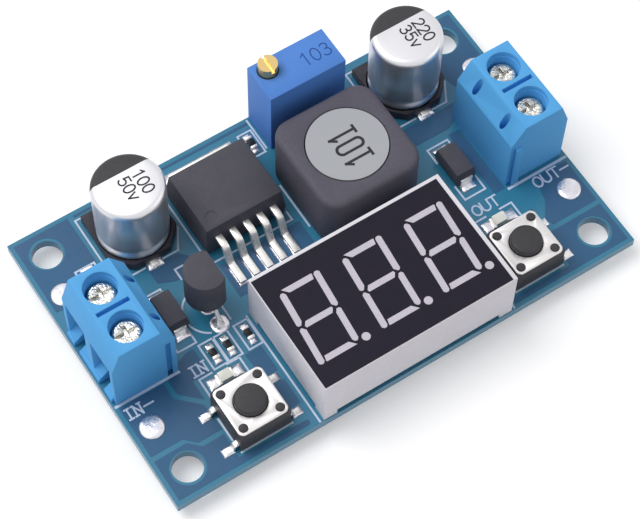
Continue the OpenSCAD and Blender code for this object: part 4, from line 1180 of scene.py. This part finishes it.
class CONVERTER_OT_capacitors(ConverterStep):
    """Finish the two can capacitors and print their tops"""

    bl_idname = "converter.capacitors"
    bl_label = "Can capacitors"

    def make(self, context):
        size = sizes()
        for end in ENDS:
            self.marked_can(end)
            eased(base_plastic(), size.moulding_edge, end + "_capacitor_base")
        self.value("input", ("100", "50v"), (1.6, -0.1))
        self.value("output", ("220", "35v"), (1.85, 0.2))
        eased(tin_plate(), size.fine_edge, "capacitor_leads")

    @staticmethod
    def marked_can(end, chord=1.6, shoulder=0.75):
        """The can with the black mark over the back of its top and its shoulder."""
        node = end + "_capacitor_can"
        source = FRAME["nodes"][node]
        low, high = span(node)
        back, below = (low.y + high.y) / 2 + chord, high.z - shoulder
        shape = merged(node)
        for place, normal in (((0, back, 0), (0, 1, 0)), ((0, 0, below), (0, 0, 1))):
            bmesh.ops.bisect_plane(shape, geom=shape.verts[:] + shape.edges[:] + shape.faces[:],
                                   dist=WELD / 10, plane_co=Vector(place) * MM, plane_no=normal)
        bmesh.ops.recalc_face_normals(shape, faces=shape.faces)
        for face in shape.faces:
            centre = face.calc_center_median() / MM
            face.material_index = int(centre.y > back and centre.z > below)
        mesh = mesh_of(shape, node + "_marked")
        mesh.shade_smooth()
        mesh.set_sharp_from_angle(angle=SHARP)
        piece = finish_piece(node + "_marked", mesh, source["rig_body"], slot_of(node),
                             can_aluminium(), can_black())
        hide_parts(node)

    @staticmethod
    def value(end, lines, places):
        """Prints two lines of figures on a can, at their distances from its middle."""
        high, centre = span(end + "_capacitor_can")[1], middle(end + "_capacitor_can")
        runs = [run for line, place in zip(lines, places)
                for run in strokes(line, (centre.x + place, centre.y - 0.5), 1.3, -90, 0.19)]
        printed(end + "_capacitor_value", runs, high.z, sizes().can_pen, marking_ink(), "can_aluminium")


class CONVERTER_OT_inductor(ConverterStep):
    """Finish the shielded inductor"""

    bl_idname = "converter.inductor"
    bl_label = "Inductor"

    def make(self, context):
        size = sizes()
        eased(ferrite_shield(), size.moulding_edge, "inductor_shield")
        carry(drum_top(), "inductor_core")
        carry(copper_wire(), "inductor_winding")
        eased(tin_plate(), size.fine_edge, "inductor_terminals")
        high, centre = span("inductor_core")[1], middle("inductor_core")
        runs = strokes("101", (centre.x + 0.1, centre.y - 0.4), 3.1, 90, 0.2, SERIF_LETTERS)
        printed("inductor_value", runs, high.z, size.coil_pen, marking_ink(), "drum_top")


class CONVERTER_OT_regulator(ConverterStep):
    """Finish the regulator and the meter's three-lead supply"""

    bl_idname = "converter.regulator"
    bl_label = "Regulator and meter supply"

    def make(self, context):
        size = sizes()
        eased(moulded_epoxy(), size.fine_edge * 1.5, "regulator_body", "meter_supply_body")
        eased(tin_plate(), size.fine_edge, "regulator_leads", "regulator_tab",
              "meter_supply_leads")


class CONVERTER_OT_small_parts(ConverterStep):
    """Finish the diodes, chips and lamps"""

    bl_idname = "converter.small_parts"
    bl_label = "Diodes, chips and lamps"

    def make(self, context):
        edge = sizes().fine_edge
        eased(moulded_epoxy(), edge * 1.5, "input_diode_body", "output_diode_body", "meter_chip")
        eased(tin_plate(), edge, "diode_tabs", "chip_end_caps")
        eased(resistor_glaze(), edge / 2, "chip_resistors")
        eased(capacitor_ceramic(), edge, "chip_capacitor")
        eased(lamp_resin(), edge, "input_lamp", "output_lamp")


class CONVERTER_OT_display(ConverterStep):
    """Finish the three-digit meter"""

    bl_idname = "converter.display"
    bl_label = "Display"

    def make(self, context):
        size = sizes()
        eased(shell_plastic(), size.moulding_edge, "display_shell")
        carry(display_film(), "display_face")
        carry(bar_resin(), "display_segments")
        carry(green_laminate(), "display_board")
        carry(tin_plate(), "display_pins")


class CONVERTER_OT_buttons(ConverterStep):
    """Finish the two push buttons"""

    bl_idname = "converter.buttons"
    bl_label = "Push buttons"

    def make(self, context):
        size = sizes()
        for end in ENDS:
            eased(button_black(), size.fine_edge, end + "_button_base")
            eased(button_black(), size.moulding_edge, end + "_button_plunger")
            eased(brushed_steel(), size.fine_edge, end + "_button_cover")
            eased(tin_plate(), size.fine_edge, end + "_button_contacts")
            carry(brushed_steel(), end + "_button_dome")


class CONVERTER_OT_trimmer(ConverterStep):
    """Finish the multi-turn trimmer"""

    bl_idname = "converter.trimmer"
    bl_label = "Trimmer"

    def make(self, context):
        size = sizes()
        eased(trimmer_plastic(), size.moulding_edge, "trimmer_case")
        carry(brass(), "trimmer_screw")
        carry(seal_rubber(), "trimmer_ring")
        carry(wheel_plastic(), "trimmer_wheel")
        carry(contact_gold(), "trimmer_wiper")
        carry(alumina(), "trimmer_element")
        low, high = span("trimmer_case")
        runs = strokes("103", (high.x - 2.35, low.y + 2.4), 1.6, gap=0.2)
        printed("trimmer_value", runs, high.z, size.trimmer_pen, trimmer_ink(), "trimmer_plastic")


def seen_rays(nodes, links):
    """A socket that is one for rays from the camera, a mirror or a clear body, else nought."""
    path = nodes.new("ShaderNodeLightPath")
    total = path.outputs["Is Camera Ray"]
    for kind in ("Is Glossy Ray", "Is Transmission Ray"):
        step = nodes.new("ShaderNodeMath")
        step.use_clamp = True
        links.new(total, step.inputs[0])
        links.new(path.outputs[kind], step.inputs[1])
        total = step.outputs[0]
    return total


class CONVERTER_OT_stage(ConverterStep):
    """Set the floor, the soft light and the camera"""

    bl_idname = "converter.stage"
    bl_label = "Stage"

    def make(self, context):
        self.floor(context.scene)
        self.light(context.scene)
        self.camera(context.scene)
        context.scene.view_settings.view_transform = "Standard"

    @staticmethod
    def floor(scene):
        """A pale sheet under the board, lifted to white where it is seen."""
        mesh = bpy.data.meshes.new("floor")
        reach, paper_white = 1.5, (0.86, 0.86, 0.87, 1)
        drop = span("solder_joints", "terminal_pins")[0].z * MM
        mesh.from_pydata([(-reach, -reach, drop), (reach, -reach, drop), (reach, reach, drop),
                          (-reach, reach, drop)], [], [(0, 1, 2, 3)])
        floor = placed("floor", mesh)
        made = bpy.data.materials.new("floor_paper")
        made.use_nodes = True
        nodes, links = made.node_tree.nodes, made.node_tree.links
        nodes.clear()
        out = nodes.new("ShaderNodeOutputMaterial")
        paper = nodes.new("ShaderNodeBsdfDiffuse")
        paper.inputs["Color"].default_value = paper_white
        glow = nodes.new("ShaderNodeEmission")
        glow.inputs["Strength"].default_value = scene.converter_stage.floor_glow
        bright = seen_rays(nodes, links)
        both = nodes.new("ShaderNodeMixShader")
        lit = nodes.new("ShaderNodeAddShader")
        links.new(paper.outputs[0], lit.inputs[0])
        links.new(glow.outputs[0], lit.inputs[1])
        links.new(bright, both.inputs[0])
        links.new(paper.outputs[0], both.inputs[1])
        links.new(lit.outputs[0], both.inputs[2])
        links.new(both.outputs[0], out.inputs[0])
        mesh.materials.append(made)

    @staticmethod
    def light(scene):
        """Even light all round, one large soft lamp and a weaker one."""
        stage = scene.converter_stage
        world = bpy.data.worlds.new("studio")
        world.use_nodes = True
        nodes, links = world.node_tree.nodes, world.node_tree.links
        sky = nodes["Background"]
        sky.inputs["Color"].default_value = (1, 1, 1, 1)
        strength = nodes.new("ShaderNodeMapRange")
        strength.inputs["To Min"].default_value = stage.sky
        strength.inputs["To Max"].default_value = 1.0
        links.new(seen_rays(nodes, links), strength.inputs["Value"])
        links.new(strength.outputs[0], sky.inputs["Strength"])
        scene.world = world
        for name, place, width, power in (
                ("key_lamp", (-0.16, 0.16, 0.42), 0.34, stage.key),
                ("fill_lamp", (0.3, -0.2, 0.25), 0.3, stage.fill)):
            lamp = bpy.data.lights.new(name, "AREA")
            lamp.shape = "DISK"
            lamp.size = width
            lamp.energy = power
            holder = placed(name, lamp)
            holder.location = place
            holder.rotation_mode = "QUATERNION"
            holder.rotation_quaternion = (-Vector(place)).to_track_quat("-Z", "Y")

    @staticmethod
    def camera(scene):
        """A long lens that looks down from the front and the input side."""
        stage = scene.converter_stage
        camera = bpy.data.cameras.new("camera")
        camera.lens = stage.lens
        camera.sensor_width = 36.0
        camera.clip_start, camera.clip_end = 0.01, 10.0
        holder = placed("camera", camera)
        flat = math.cos(stage.elevation)
        back = Vector((math.sin(stage.azimuth) * flat, -math.cos(stage.azimuth) * flat,
                       math.sin(stage.elevation)))
        aim = Vector((-1.25, -1.6, BOARD_TOP)) * MM
        holder.location = aim + back * stage.distance
        turn = (-back).to_track_quat("-Z", "Y")
        holder.rotation_mode = "QUATERNION"
        holder.rotation_quaternion = turn @ Matrix.Rotation(stage.roll, 4, "Z").to_quaternion()
        scene.camera = holder


class CONVERTER_PT_panel(bpy.types.Panel):
    """Lists the steps and their settings"""

    bl_idname = "CONVERTER_PT_panel"
    bl_label = "Step-down converter"
    bl_space_type = "VIEW_3D"
    bl_region_type = "UI"
    bl_category = "Converter"

    def draw(self, context):
        for step in STEPS:
            self.layout.operator(step.bl_idname)
        for group in (context.scene.converter_sizes, context.scene.converter_colours,
                      context.scene.converter_stage):
            box = self.layout.box()
            for name in group.bl_rna.properties.keys():
                if name not in ("rna_type", "name"):
                    box.prop(group, name)


GROUPS = {"converter_sizes": ConverterSizes, "converter_colours": ConverterColours,
          "converter_stage": ConverterStage}
STEPS = (CONVERTER_OT_board, CONVERTER_OT_print, CONVERTER_OT_solder, CONVERTER_OT_terminals,
         CONVERTER_OT_capacitors, CONVERTER_OT_inductor, CONVERTER_OT_regulator,
         CONVERTER_OT_small_parts, CONVERTER_OT_display, CONVERTER_OT_buttons,
         CONVERTER_OT_trimmer, CONVERTER_OT_stage)


def register():
    """Makes the settings, the steps and the panel known."""
    for kind in (*GROUPS.values(), *STEPS, CONVERTER_PT_panel):
        bpy.utils.register_class(kind)
    for name, kind in GROUPS.items():
        setattr(bpy.types.Scene, name, PointerProperty(type=kind))


def unregister():
    """Takes away what register makes known."""
    for name in GROUPS:
        delattr(bpy.types.Scene, name)
    for kind in reversed((*GROUPS.values(), *STEPS, CONVERTER_PT_panel)):
        bpy.utils.unregister_class(kind)


def main():
    """Runs every step in order."""
    register()
    for step in STEPS:
        family, name = step.bl_idname.split(".")
        getattr(getattr(bpy.ops, family), name)()


if __name__ == "__main__":
    main()
